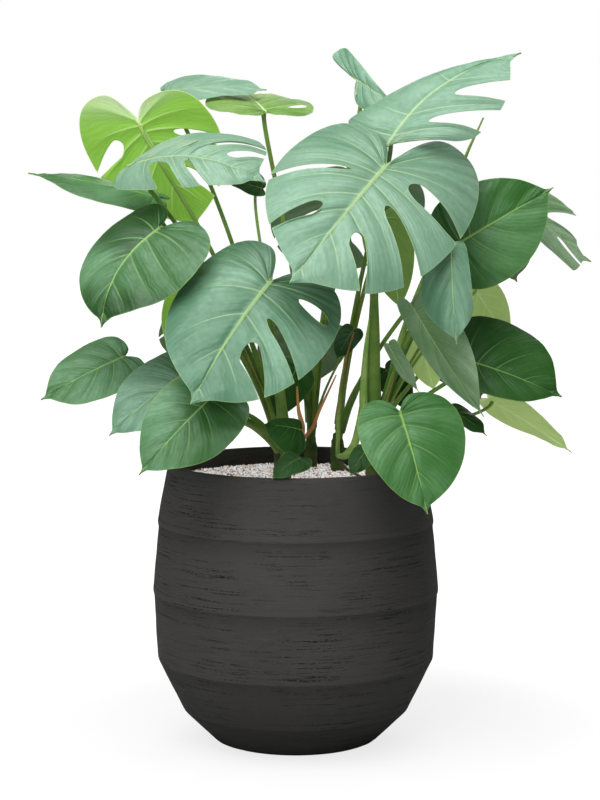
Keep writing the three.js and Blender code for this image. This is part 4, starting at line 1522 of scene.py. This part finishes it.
RIGHT_LEAVES = (
    Blade(
        "right_high", "right", Tone.BRIGHT, (225, 10, 694), (358, 30, 771), (20, 22), (78, 66),
        lobe=(30, 22), deep=((0.3, 0.35), (0.65, 0.5)),
    ),
    Blade(
        "right_low", "right", Tone.DEEP, (235, 0, 533), (367, -20, 483), (25, 40), (50, 98),
        lobe=(20, 32), curl=(-20, -14), arch=10, shoulder=(0.6, 0.66), blunt=(0.3, 0.3),
        deep=((0.9, 0.5), (0.7, 0.7)),
    ),
    Blade(
        "right_pale", "right", Tone.PALE, (271, 30, 475), (390, 40, 398), (150, 50), (36, 36),
        lobe=(8, 8), fold=(10, 10), arch=6, petiole=3.5, slot="leaf_sage",
    ),
    Blade(
        "right_small", "right", Tone.DEEP, (214, -12, 464), (263, -34, 431), (20, 60), (22, 22),
        lobe=(8, 8), petiole=3, fine=6,
    ),
    Blade(
        "right_hanging", "middle", Tone.TEAL, (209, -92, 697), (214, -135, 565), (-30, 20), (48, 28),
        lobe=(4, 4), fold=(8, -20), curl=(-30, -40), wide=(0.45, 0.5), shoulder=(0.5, 0.7),
        arch=10, wave=3, deep=((0.2, 0), (0.2, 0)), slot="leaf_green",
    ),
    Blade(
        "right_folded", "right", Tone.SAGE, (160, -36, 610), (256, -76, 462), (-50, 20), (26, 50),
        lobe=(20, 10), fold=(10, 10), curl=(-20, -20),
    ),
    Blade(
        "top_right", "middle", Tone.SILVER, (125, -20, 828), (311, 20, 955), (-5, 45), (90, 82),
        lobe=(-42, -10), fold=(4, 4), curl=(-28, -14), arch=14, sweep=-54, wide=(0.45, 0.08), droop=6,
        shoulder=(0.85, 0.03), blunt=(0.3, 0.22), flank=(0.96, 0.5), ribs=7,
        cuts=(((0.53, 0.3, 1, 0.03, -1.4), (0.73, 0.34, 1, 0.03, -1.2)), ()),
        deep=((0.1, 0), (0.35, 0.2)),
    ),
    Blade(
        "top_middle", "back", Tone.SILVER, (86, 80, 922), (143, 40, 884), (-30, 20), (30, 30),
        lobe=(-15, 58), fold=(8, 8), curl=(-10, -10), wide=(0.4, -0.55), shoulder=(0.4, 0.1),
        flank=(0.96, 0.55), arch=4,
    ),
    Blade(
        "far_right", "right", Tone.SAGE, (291, 90, 761), (421, 100, 665), (20, 40), (32, 68),
        lobe=(-70, -20), fold=(0, 0), curl=(-16, -10), wide=(0.8, 0.5), shoulder=(0.9, 0.8),
        blunt=(0.8, 0.05), flank=(0.96, 0.7),
        cuts=(((0.84, 0.12, 1, 0.02, 0),), ((0.7, 0.3, 1, 0.04, -2.2),)),
    ),
    Blade(
        "lime_right", "right", Tone.PALE, (255, 110, 629), (306, 110, 546), (165, 30), (34, 34),
        lobe=(10, 8), petiole=3, fine=6,
    ),
    Blade(
        "lime_middle", "right", Tone.PALE, (178, 95, 557), (199, 95, 479), (190, 30), (30, 26),
        lobe=(8, 8), petiole=3, fine=6,
    ),
    Blade(
        "dark_behind", "middle", Tone.FRESH, (124, 60, 733), (148, 60, 596), (180, 10), (36, 36),
        lobe=(8, 8), slot="leaf_deep",
    ),
    Blade(
        "dark_low", "right", Tone.SHADE, (129, 104, 511), (165, 104, 450), (20, 30), (26, 30),
        lobe=(8, 8), petiole=3, fine=6,
    ),
    Blade(
        "grey_narrow", "right", Tone.SAGE, (129, -8, 555), (171, -18, 490), (-50, 20), (10, 16),
        lobe=(4, 4), petiole=2.5, fine=6,
    ),
    Blade(
        "inner_left", "back", Tone.DEEP, (2, 80, 515), (-38, 76, 440), (-10, 30), (34, 34),
        lobe=(8, 8), petiole=3, fine=6,
    ),
    Blade(
        "inner_middle", "back", Tone.SHADE, (80, 34, 571), (57, 20, 532), (-10, 30), (18, 18),
        lobe=(8, 8), petiole=2.5, fine=6, deep=((0.7, 0.7), (0.7, 0.7)),
    ),
)

BACK_LEAVES = (
    Blade(
        "back_high", "back", Tone.TEAL, (85, 175, 765), (50, 320, 635), (188, 40), (110, 116),
        lobe=(60, 70), curl=(-18, -22), arch=16, blunt=(0.4, 0.4), droop=8, petiole=5, ribs=7,
        cuts=(
            ((0.45, 0.36, 1, 0.03, 0.6), (0.62, 0.3, 1, 0.03, 0.3), (0.78, 0.3, 1, 0.03, 0.6)),
            ((0.45, 0.42, 0.86, 0.024), (0.62, 0.3, 1, 0.03, 0.5), (0.78, 0.3, 1, 0.03, 0.6)),
        ),
    ),
    Blade(
        "back_left", "back_left", Tone.GREEN, (-100, 168, 605), (-170, 288, 495), (205, 40), (80, 84),
        lobe=(34, 36), curl=(-14, -16), arch=12, blunt=(0.3, 0.3),
        cuts=(((0.62, 0.34, 1, 0.03, 0.5),), ((0.62, 0.4, 1, 0.03, 0.6),)),
    ),
    Blade(
        "back_right", "right", Tone.TEAL, (240, 150, 720), (330, 240, 630), (150, 40), (76, 80),
        lobe=(34, 36), curl=(-14, -16), arch=12, blunt=(0.3, 0.3),
        cuts=(((0.6, 0.34, 1, 0.03, 0.5),), ((0.6, 0.4, 0.9, 0.024),)),
    ),
    Blade(
        "back_low_right", "right", Tone.DEEP, (200, 150, 540), (280, 250, 450), (150, 40), (62, 64),
        lobe=(24, 24), arch=10, blunt=(0.2, 0.2),
    ),
    Blade(
        "back_low_left", "back_left", Tone.DEEP, (-130, 130, 500), (-210, 220, 420), (215, 40), (58, 60),
        lobe=(22, 24), arch=10, blunt=(0.2, 0.2),
    ),
    Blade(
        "back_far_left", "back_left", Tone.GREEN, (-190, 110, 690), (-270, 190, 590), (220, 40), (64, 66),
        lobe=(26, 28), arch=10, blunt=(0.2, 0.2),
    ),
    Blade(
        "back_middle", "back", Tone.GREEN, (20, 190, 560), (-10, 300, 450), (185, 40), (66, 70),
        lobe=(26, 28), arch=12, blunt=(0.2, 0.2),
    ),
)

LEAVES = (*FRONT_LEAVES, *LEFT_LEAVES, *RIGHT_LEAVES, *BACK_LEAVES)


# Stems


# Points along a petiole, along a shoot for each one that it passes, and along a stem, points
# round a petiole, a shoot and a stem, and points across a sheath.
PETIOLE_POINTS = 72
SHOOT_POINTS = 14
STEM_POINTS = 60
PETIOLE_SIDES = 18
SHOOT_SIDES = 14
STEM_SIDES = 28
SHEATH_COLUMNS = 17

# Share of its solid's thickness that a stem keeps above the gravel.
STEM_SLIM = 0.8

# A petiole whose solid's radius is above this, in millimetres, is stout: it keeps a larger share
# of it and has a longer and wider sheath. One that isn't above the second has no sheath.
STOUT = 5
SLIGHT = 3.2
STOUT_SHARE, SLIM_SHARE = 0.85, 0.7

# The least rise of a petiole's curve, and its channel's depth as a share of its radius. For a
# sheath, the petiole's point that it starts from, how far its foot wraps to each side, half its
# thickness, and its flow's length.
LEAST_RISE = 40.0
CHANNEL = 0.12
SHEATH_FROM = 3
WRAP = 2.2
PAPER = 0.3
SHEATH_FLOW = 60

# The tones of young leaves, whose petioles are pale.
YOUNG = (Tone.LIME, Tone.PALE, Tone.FRESH)


@dataclass(frozen=True)
class Shoot:
    """A young, dried or rooting shoot: its radius at three places, the points it passes, and how
    dry it is at its start and its end."""

    title: str
    finish: StemFinish
    radii: tuple[float, float, float]
    points: tuple[Point, ...]
    dry: Pair = (0, 0)

    def solid(self) -> Surface:
        """A bar along a smooth curve, whose radius runs straight between its three values.

        Returns:
            The bar.
        """
        count = SHOOT_POINTS * len(self.points)
        path = through(self.points, count)
        radii = np.interp(np.linspace(0, 1, count), [0, 0.5, 1], self.radii)
        bar = tube(path, radii, SHOOT_SIDES)
        bar.values["dry"] = self.dry[0] + (self.dry[1] - self.dry[0]) * bar.values["along"]
        return bar


@dataclass(frozen=True)
class Crown:
    """One rooted crown: a short ringed stem, the petioles that leave it, and its shoots.

    Sizes are in millimetres. Its rings stand out and lie a spacing apart, its top draws in over
    a shoulder, and its skin is rough.
    """

    name: str
    at: Pair
    radius: float
    height: float
    shoots: tuple[Shoot, ...] = ()
    root_depth: float = 60.0
    ring: float = 0.96
    spacing: float = 12.0
    shoulder: float = 20.0
    rough: float = 0.35

    def stem(self) -> Surface:
        """The ringed stem: a turned column whose radius swells at even rings, with a rough skin.

        Returns:
            The stem.
        """
        low, high = GRAVEL_TOP - self.root_depth, GRAVEL_TOP + self.height
        height = np.linspace(low, high, STEM_POINTS)
        ring = np.abs(np.sin(math.pi * (height - GRAVEL_TOP) / self.spacing)) ** 6
        swell = np.where(height > GRAVEL_TOP + 3, self.ring * ring, 0)
        drawn_in = 1 - 0.3 * ease((height - high + self.shoulder) / self.shoulder)
        radius = (STEM_SLIM * self.radius + swell) * drawn_in
        dome = [[radius[-1] * 0.6, high + 2.4], [0, high + 3]]
        profile = np.vstack([[[0, low]], np.column_stack([radius, height]), dome])
        turn = turns(STEM_SIDES)[None]
        rough = self.rough * ripple(turn * self.radius * 1.4, profile[:, 1:], len(self.name), 7.0)
        body = turned(profile, STEM_SIDES, np.where(profile[:, 1:] > GRAVEL_TOP + 2, rough, 0))
        body.points[:, :2] += self.at
        body.values["dry"] = clamp(0.1 + 0.4 * ripple(body.points[:, 0], body.points[:, 2], 3, 30.0))
        body.values["along"] = np.zeros(len(body.points))
        return body

    def petiole_path(self, leaf: Blade) -> Array:
        """The petiole's line: a cubic that leaves the stem upright, leans out and hooks forward
        to meet its blade from below, under the midrib.

        Args:
            leaf: The blade that it carries.

        Returns:
            Points from the stem to the blade.
        """
        seat, outward = leaf.seat()
        foot = np.array([*self.at, GRAVEL_TOP + self.height * leaf.rooted])
        rise = foot + (seat - foot) * leaf.lean
        rise[2] = foot[2] + max(seat[2] - foot[2], LEAST_RISE) * leaf.climb
        knots = [foot, rise, seat - outward * leaf.hook, seat]
        return cubic(knots, np.linspace(0, 1, PETIOLE_POINTS))

    @staticmethod
    def petiole_radii(leaf: Blade, u: Array) -> Array:
        """Its radius: wide at the foot, then slim, and swollen at the joint.

        Args:
            leaf: The blade that it carries.
            u: Shares of its line.

        Returns:
            The radius at each share.
        """
        foot, joint = PETIOLE_FOOT - 1, PETIOLE_JOINT - 1
        swell = 1 + foot * (1 - clamp(u / 0.45)) ** 2 + joint * ease((u - 0.9) / 0.1)
        return (STOUT_SHARE if leaf.petiole > STOUT else SLIM_SHARE) * leaf.petiole * swell

    def petiole(self, leaf: Blade) -> Surface:
        """A petiole: a clasping foot, a slim channelled middle and a swollen joint at the blade.

        Args:
            leaf: The blade that it carries.

        Returns:
            The petiole.
        """
        path = self.petiole_path(leaf)
        radii = self.petiole_radii(leaf, np.linspace(0, 1, len(path)))
        channel = np.exp(-(((turns(PETIOLE_SIDES) - math.pi) / 0.5) ** 2))
        bar = tube(path, radii, PETIOLE_SIDES, 1 - CHANNEL * channel)
        bar.values["dry"] = 0.25 * clamp(1 - bar.values["along"] / 0.12)
        varied = 0.5 + 0.5 * math.sin(2.3 * leaf.base[0] + leaf.base[2])
        tint = 1.0 if leaf.tone in YOUNG else varied
        bar.values["pale"] = clamp(tint**2 + 0.45 * np.abs(np.sin(math.pi * bar.flow[:, 0])) ** 8)
        return bar

    def sheath(self, leaf: Blade, index: int) -> Surface:
        """A papery wing that clasps the petiole's foot: an open half tube that stands off the
        petiole, narrows upwards, and is torn and dry along its free edges.

        Args:
            leaf: The blade that the petiole carries.
            index: Which of the crown's leaves it is, from which its size and colour follow.

        Returns:
            The sheath.
        """
        path = self.petiole_path(leaf)
        stout = leaf.petiole > STOUT
        rise = 34 if stout else 18 + 6 * (index % 3)
        covered = slice(SHEATH_FROM, SHEATH_FROM + rise)
        line = path[covered]
        tangent = unit(np.gradient(line, axis=0))
        toward = unit(np.array([math.sin(2.1 * index), -math.cos(2.1 * index), 0.0]))
        first = unit(toward - tangent * (tangent @ toward)[:, None])
        second = np.cross(tangent, first)
        v = np.linspace(0, 1, len(line))[:, None]
        a = np.linspace(-1, 1, SHEATH_COLUMNS)[None]
        even = np.ones_like(v) * np.ones_like(a)
        angle = a * (WRAP * (1 - 0.97 * v) ** 0.7 * (1 + 0.05 * np.sin(9 * v + index)))
        radii = self.petiole_radii(leaf, np.linspace(0, 1, len(path)))[covered, None]
        flare = 0.6 * np.abs(a) ** 4 * (1 + np.sin(14 * v + index)) * (1 - v)
        wide = radii * (1.06 + (0.5 if stout else 0.25) * (1 - v) ** 1.6) + 0.25 + flare
        cos, sin = np.cos(angle)[..., None], np.sin(angle)[..., None]
        points = line[:, None] + wide[..., None] * (cos * first[:, None] + sin * second[:, None])
        torn = 1.5 * np.abs(a) ** 10 - 0.6 + 0.45 * v**3 + 0.3 * np.sin(11 * v + 2 * index)
        dry = clamp(torn if index % 3 == 1 else 0.5 * torn) * even
        pale = clamp(0.25 + 0.6 * (index % 2) + 0.3 * np.abs(a) ** 4 * even)
        values = {"along": (v * even).ravel(), "dry": dry.ravel(), "pale": pale.ravel()}
        length = np.linspace(0, SHEATH_FLOW, len(line))[:, None]
        flow = np.stack([a * even, length * even], -1)
        triangles = lattice(len(line), SHEATH_COLUMNS)
        sheet = Surface(points.reshape(-1, 3), triangles, values, flow.reshape(-1, 2))
        solid = sheet.thickened(PAPER, PAPER)
        solid.values.pop("under")
        return solid

    def build(self, leaves: Sequence[Blade]) -> None:
        """Builds and dresses the crown in place of its plain solid.

        Args:
            leaves: Every blade; the crown's own are picked from them.
        """
        own = [leaf for leaf in leaves if leaf.crown == self.name]
        node = f"stems_{self.name}"
        place(f"stem_{self.name}", self.stem(), ROOT.material(), "stem", node)
        bars = [self.petiole(leaf) for leaf in own]
        place(f"petioles_{self.name}", Surface.gathered(bars), GREEN_STEM.material(), "stem", node)
        wraps = [self.sheath(leaf, index) for index, leaf in enumerate(own) if leaf.petiole > SLIGHT]
        if wraps:
            place(f"sheaths_{self.name}", Surface.gathered(wraps), SHEATH.material(), "stem", node)
        for shoot in self.shoots:
            place(f"shoot_{shoot.title}", shoot.solid(), shoot.finish.material(), "stem", node)


CROWNS = (
    Crown(
        "left", (-22, 36), 10, 44,
        (
            Shoot(
                "dried", SHEATH, (3, 2.5, 1),
                ((-22, 34, 392), (18, 10, 430), (34, -10, 466), (56, -20, 514)), (0.8, 1),
            ),
        ),
    ),
    Crown(
        "front", (-14, -46), 10, 46,
        (
            Shoot(
                "front_spear", SHEATH, (5, 4, 1),
                ((-14, -46, 396), (4, -54, 420), (9, -58, 445), (4, -60, 470), (2, -60, 502)), (0.6, 1),
            ),
        ),
    ),
    Crown(
        "middle", (60, 96), 12, 52,
        (
            Shoot(
                "brown_sheath", PALE_STEM, (3.4, 2.8, 0.8),
                ((60, 92, 385), (60, 62, 410), (61, 40, 465), (67, 8, 520), (80, -16, 572)), (-0.4, 1),
            ),
            Shoot(
                "curved_sheath", PALE_STEM, (2.2, 6.4, 3.4),
                ((60, 90, 388), (62, 60, 391), (71, 32, 396), (82, 20, 412), (88, 10, 440), (93, -4, 476)),
            ),
            Shoot(
                "root_middle", ROOT, (3, 2.5, 1.5),
                ((60, 88, 386), (64, 50, 382), (76, 10, 376), (92, -20, 372)), (0.4, 1),
            ),
        ),
    ),
    Crown(
        "right", (108, 22), 12, 50,
        (
            Shoot(
                "pale_spear", PALE_STEM, (6, 6, 1.2),
                ((108, 22, 390), (98, 6, 430), (94, -6, 480), (97, -10, 545), (102, -10, 591)),
            ),
            Shoot(
                "rolled_leaf", PALE_STEM, (5, 4, 1.2),
                ((108, 22, 390), (150, 66, 560), (215, 84, 720), (236, 76, 804), (264, 74, 869)),
            ),
        ),
    ),
    Crown(
        "back", (22, 138), 11, 46,
        (
            Shoot(
                "slim_left", GREEN_STEM, (3.2, 2.6, 2.2),
                ((22, 138, 396), (18, 120, 450), (19, 105, 520), (26, 97, 574)),
            ),
            Shoot(
                "slim_right", GREEN_STEM, (3.2, 2.4, 2.0),
                ((24, 136, 396), (30, 110, 460), (36, 96, 530), (40, 90, 584)),
            ),
        ),
    ),
    Crown("back_left", (-24, 112), 9, 40),
)


# Pot and ground


# What a point of the pot that has no seam over it carries as its depth below one.
NO_SEAM = 99.0

# Spacing of the pot's points on its outer wall, ledges, rim, inner wall and floor, in millimetres.
WALL_STEP = 4
LEDGE_STEP = 1.5
RIM_STEP = 1.2
INNER_STEP = 9
FLOOR_STEPS = (8, 8, 12)

# Points from rim to middle and round the gravel's bed.
BED_POINTS = 60
BED_SIDES = 120


@dataclass(frozen=True)
class Pot:
    """The banded pot and what fills it, in millimetres.

    The outline is radius and height from foot to rim. A seam steps back by its own depth over a
    ledge, and the wall is uneven by a relief. Grains lie a spacing apart, moved by a jitter, on
    a bed that rises in mounds, clear of the wall and the stems.
    """

    outline: tuple[Pair, ...] = ((112, 0), (159, 48), (193, 117), (200, 211), (193, 308), (177, 391))
    seam: float = 2.0
    ledge: float = 4.0
    rim: float = 9.0
    wall: float = 11.0
    floor: float = 16.0
    uneven: float = 0.35
    sides: int = 180
    soil_top: float = 350.0
    bed_below: float = 1.6
    mound: float = 0.8
    grain: float = 3.42
    half_rows: int = 60
    jitter: float = 0.9
    pebble: Pair = (1.35, 2.25)
    off_wall: float = 1.8
    off_stem: float = 1.2
    bed_off_wall: float = 0.4

    def inner(self, height: float) -> float:
        """Inner radius above the highest seam, straight from there to the rim.

        Args:
            height: The height.

        Returns:
            The radius there.
        """
        (low_radius, low), (high_radius, high) = self.outline[-2:]
        share = (height - low) / (high - low)
        return low_radius - self.wall + share * (high_radius - self.rim - low_radius + self.wall)

    def shell(self) -> Surface:
        """The pot: its outline turned round the axis, the seams softened into ledges, and the
        hand-worked wall a little uneven by smooth relief.

        Returns:
            The pot, whose points carry how far below a seam they are.
        """
        corners: list[Pair] = [(0, 0), self.outline[0]]
        steps: list[float] = [INNER_STEP]
        for radius, height in self.outline[1:-1]:
            corners += [(radius - self.seam, height - self.ledge), (radius, height)]
            steps += [WALL_STEP, LEDGE_STEP]
        top_radius, top = self.outline[-1]
        corners += [(top_radius, top), (top_radius - self.rim, top)]
        steps += [WALL_STEP, RIM_STEP]
        for radius, height in reversed(self.outline[2:-1]):
            corners.append((radius - self.wall, height))
            steps.append(INNER_STEP)
        radius, height = self.outline[1]
        corners += [(radius - self.wall, height + 8), (self.outline[0][0], self.floor), (0, self.floor)]
        steps += FLOOR_STEPS
        profile = sampled(corners, steps, 2)
        turn = turns(self.sides)[None]
        height = profile[:, 1:]
        worn = np.sin(2 * turn + 0.7) + 0.7 * np.sin(5 * turn + height / 31)
        worn = worn + 0.5 * np.sin(11 * turn - height / 17) + 0.4 * np.sin(23 * turn + height / 7)
        outer = (np.arange(len(profile))[:, None] < np.argmax(profile[:, 1])) & (height > 2)
        body = turned(profile, self.sides, np.where(outer, self.uneven * worn, 0))
        below = np.full(len(body.points), NO_SEAM)
        for _, seam in self.outline[1:-1]:
            depth = seam - body.points[:, 2]
            below = np.where((depth > -OVER_SEAM) & (depth < below), depth, below)
        reach = np.hypot(body.points[:, 0], body.points[:, 1])
        wall = np.interp(body.points[:, 2], *np.array(self.outline).T[::-1]) - 0.5 * self.wall
        body.values["below"] = np.where(reach > wall, below, NO_SEAM)
        return body

    def mounds(self, x: Array, y: Array) -> Array:
        """Height of the gravel's soft mounds, the same for the bed and the grains."""
        return self.mound * ripple(x, y, 1, 30.0)

    def bed(self) -> Surface:
        """The bed under the grains: a turned disc whose top rises and falls in soft mounds.

        Returns:
            The bed, whose points carry a tint.
        """
        bottom = self.soil_top + GAP
        radius = np.linspace(self.inner(GRAVEL_TOP) - self.bed_off_wall, 0, BED_POINTS)
        foot = [[0, bottom], [self.inner(bottom) - self.bed_off_wall, bottom]]
        top = np.column_stack([radius, np.full(BED_POINTS, GRAVEL_TOP - self.bed_below)])
        disc = turned(np.vstack([foot, top]), BED_SIDES)
        raised = disc.points[:, 2] > GRAVEL_TOP - 2
        disc.points[raised, 2] += self.mounds(disc.points[raised, 0], disc.points[raised, 1])
        disc.values["tint"] = clamp(0.4 + 0.3 * ripple(disc.points[:, 0], disc.points[:, 1], 2, 4.0))
        return disc

    def grains(self, crowns: Sequence[Crown]) -> Surface:
        """The gravel: a twenty-sided pebble, stretched and dented at random, set at every place
        of a jittered triangular lattice inside the rim and clear of the stems.

        Args:
            crowns: The crowns that stand in it.

        Returns:
            Every grain as one surface, each with its own tint.
        """
        random = np.random.default_rng(SEED)
        gold = (1 + math.sqrt(5)) / 2
        ring = [(-1, gold, 0), (1, gold, 0), (-1, -gold, 0), (1, -gold, 0)]
        knots = [*ring, *[(z, x, y) for x, y, z in ring], *[(y, z, x) for x, y, z in ring]]
        ball = unit(np.array(knots, float))
        near = np.linalg.norm(ball[:, None] - ball[None], axis=-1) < 1.2
        np.fill_diagonal(near, False)
        index = np.arange(len(ball))
        i, j, k = np.meshgrid(index, index, index, indexing="ij")
        found = (i < j) & (j < k) & near[i, j] & near[j, k] & near[i, k]
        faces = np.stack([i[found], j[found], k[found]], axis=-1)
        a, b, c = (ball[faces[:, corner]] for corner in range(3))
        inward = (np.cross(b - a, c - a) * a).sum(axis=1) < 0
        faces[inward] = faces[inward][:, ::-1]
        reach = self.inner(GRAVEL_TOP) - self.off_wall
        across, rise = self.grain, self.grain * math.sqrt(3) / 2
        lines = np.arange(-self.half_rows, self.half_rows + 1)
        row, column = np.meshgrid(lines, lines, indexing="ij")
        x = (column + 0.5 * (row % 2)) * across
        x = x + random.uniform(-self.jitter, self.jitter, row.shape)
        y = row * rise + random.uniform(-self.jitter, self.jitter, row.shape)
        kept = np.hypot(x, y) < reach
        for crown in crowns:
            clear = STEM_SLIM * crown.radius + self.off_stem
            kept &= np.hypot(x - crown.at[0], y - crown.at[1]) > clear
        x, y = x[kept], y[kept]
        count = len(x)
        height = GRAVEL_TOP - 0.9 + self.mounds(x, y) + random.uniform(-0.7, 1.1, count)
        centre = np.column_stack([x, y, height])
        size = random.uniform(*self.pebble, (count, 1, 1)) * random.uniform(0.7, 1.2, (count, 1, 3))
        shape = ball[None] * size * random.uniform(0.82, 1.15, (count, len(ball), 1))
        spin = random.uniform(0, 2 * math.pi, count)
        cos, sin = np.cos(spin)[:, None], np.sin(spin)[:, None]
        wide, deep, tall = shape[..., 0], shape[..., 1], shape[..., 2]
        spun = np.stack([wide * cos - deep * sin, wide * sin + deep * cos, tall], axis=-1)
        points = (centre[:, None] + spun).reshape(-1, 3)
        triangles = (faces[None] + len(ball) * np.arange(count)[:, None, None]).reshape(-1, 3)
        tint = np.repeat(random.uniform(0, 1, count), len(ball))
        return Surface(points, triangles, {"tint": tint})

    def build(self, crowns: Sequence[Crown]) -> list[bpy.types.Object]:
        """Builds the pot, the bed and the grains, and dresses the soil.

        Args:
            crowns: The crowns that stand in the gravel.

        Returns:
            The bed and the grains.
        """
        place("pot_shell", self.shell(), ClayFinish().material(), "pot", "pot", crease=60)
        bed = place("gravel_bed", self.bed(), BED.material(carried=True), "gravel", "gravel")
        stones = STONES.material(carried=True)
        grains = place("gravel_grains", self.grains(crowns), stones, "gravel", "gravel", crease=80)
        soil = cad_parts["soil"]
        soil.data.materials.clear()
        soil.data.materials.append(EARTH.material(carried=False))
        return [bed, grains]


# Studio


Stand = tuple[str, Point, float, float]


@dataclass(frozen=True)
class Stage:
    """The pale floor, the soft studio lights and the camera, in metres and watts.

    A lamp is its name, where it hangs, its side and its power. A card is its name, its middle,
    its size towards the camera and its height. The floor's glow turns white between two distances
    from the plant, and the camera sees its own grey.
    """

    camera_at: Point = (0.006, -3.0, 0.782)
    camera_down: float = 5.8
    lens: float = 97.5
    sensor: float = 36.0
    surround: float = 0.42
    aim: Point = (0.0, 0.0, 0.55)
    floor_reach: float = 20.0
    fade: Pair = (0.3, 0.85)
    floor_bounce: float = 0.6
    floor_seen: float = 0.24
    floor_glow: float = 0.78
    card_grey: float = 0.01
    lamps: tuple[Stand, ...] = (
        ("over", (-0.45, -0.9, 2.9), 2.4, 66),
        ("front", (-1.1, -3.4, 1.5), 1.4, 30),
        ("rear", (0.6, 2.6, 2.2), 2.0, 20),
    )
    mouth: Stand = ("mouth", (-0.2, -1.6, 1.5), 0.5, 34)
    cards: tuple[Stand, ...] = (
        ("flag_right", (0.75, -0.6, 0.35), 1.6, 0.7),
        ("flag_left", (-0.8, -0.6, 0.22), 1.4, 0.44),
    )

    @staticmethod
    def sheet(name: str, corners: Sequence[Point], material: bpy.types.Material) -> bpy.types.Object:
        """A flat sheet of the set, put into the scene.

        Args:
            name: The sheet's name.
            corners: Its four corners in turn.
            material: Its finish.

        Returns:
            The sheet.
        """
        mesh = bpy.data.meshes.new(name)
        mesh.from_pydata(corners, [], [(0, 1, 2, 3)])
        mesh.materials.append(material)
        made = bpy.data.objects.new(name, mesh)
        bpy.context.scene.collection.objects.link(made)
        return made

    def floor(self) -> None:
        """A wide plain floor at the pot's foot, which fades into the white of the studio."""
        made, pen, shader = blank("floor", 0.95, 0.0)
        distance = pen.node("ShaderNodeVectorMath", {0: pen.where()}, operation="LENGTH").outputs[1]
        far = pen.step(distance, *self.fade)
        seen = pen.node("ShaderNodeLightPath").outputs["Is Camera Ray"]
        lit_by, own = grey(self.floor_bounce), grey(self.floor_seen)
        pen.put(shader.inputs["Base Color"], pen.blend(seen, lit_by, own))
        pen.put(shader.inputs["Emission Color"], pen.blend(far, grey(self.floor_glow), grey(1.0)))
        pen.put(shader.inputs["Emission Strength"], seen)
        reach = self.floor_reach
        corners = [(-reach, -reach, 0), (reach, -reach, 0), (reach, reach, 0), (-reach, reach, 0)]
        floor = self.sheet("floor", corners, made)

    def light(self, name: str, at: Point, size: float, power: float) -> bpy.types.Object:
        """A square lamp that looks at the middle of the plant.

        Args:
            name: The lamp's name.
            at: Where it hangs.
            size: Its side.
            power: Its power in watts.

        Returns:
            The lamp.
        """
        data = bpy.data.lights.new(name, "AREA")
        data.size = size
        data.energy = power
        lamp = bpy.data.objects.new(name, data)
        lamp.visible_camera = False
        lamp.location = at
        lamp.rotation_euler = (Vector(self.aim) - Vector(at)).to_track_quat("-Z", "Y").to_euler()
        bpy.context.scene.collection.objects.link(lamp)
        return lamp

    def flag(self, name: str, at: Point, width: float, height: float) -> None:
        """A black card beside the set, out of the camera's sight, that shades one side.

        Args:
            name: The card's name.
            at: Its middle.
            width: Its size towards the camera.
            height: Its height.
        """
        made, _, shader = blank(name, 1.0, 0.0)
        shader.inputs["Base Color"].default_value = grey(self.card_grey)
        y, z = width / 2, height / 2
        card = self.sheet(name, [(0, -y, -z), (0, y, -z), (0, y, z), (0, -y, z)], made)
        card.location = at
        card.visible_camera = False

    def spot(self, pieces: Sequence[bpy.types.Object]) -> None:
        """A small lamp in front of the pot's mouth that lights only the given pieces.

        Args:
            pieces: What it lights.
        """
        lamp = self.light(*self.mouth)
        lit = bpy.data.collections.new("lit_by_mouth")
        for piece in pieces:
            lit.objects.link(piece)
        lamp.light_linking.receiver_collection = lit
        lamp.light_linking.blocker_collection = lit

    def build(self) -> None:
        """Makes the world, the lights, the floor and the camera."""
        scene = bpy.context.scene
        world = bpy.data.worlds.new("studio")
        world.use_nodes = True
        background = world.node_tree.nodes["Background"]
        background.inputs["Color"].default_value = grey(1.0)
        pen = NodePen(world.node_tree)
        seen = pen.node("ShaderNodeLightPath").outputs["Is Camera Ray"]
        pen.put(background.inputs["Strength"], pen.step(seen, 0.0, 1.0, self.surround, 1.0))
        scene.world = world
        scene.view_settings.view_transform = "Standard"
        for lamp in self.lamps:
            self.light(*lamp)
        for card in self.cards:
            self.flag(*card)
        self.floor()
        data = bpy.data.cameras.new("camera")
        data.lens = self.lens
        data.sensor_width = self.sensor
        camera = bpy.data.objects.new("camera", data)
        camera.location = self.camera_at
        camera.rotation_euler = (math.radians(90 - self.camera_down), 0, 0)
        scene.collection.objects.link(camera)
        scene.camera = camera


def main() -> None:
    """Builds the plant, its pot and the studio."""
    logging.basicConfig(level=logging.INFO, format="%(message)s")
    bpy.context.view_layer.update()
    stage = Stage()
    stage.build()
    stage.spot(Pot().build(CROWNS))
    for crown in CROWNS:
        crown.build(LEAVES)
    for leaf in LEAVES:
        leaf.build()
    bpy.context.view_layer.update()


if __name__ == "__main__":
    main()
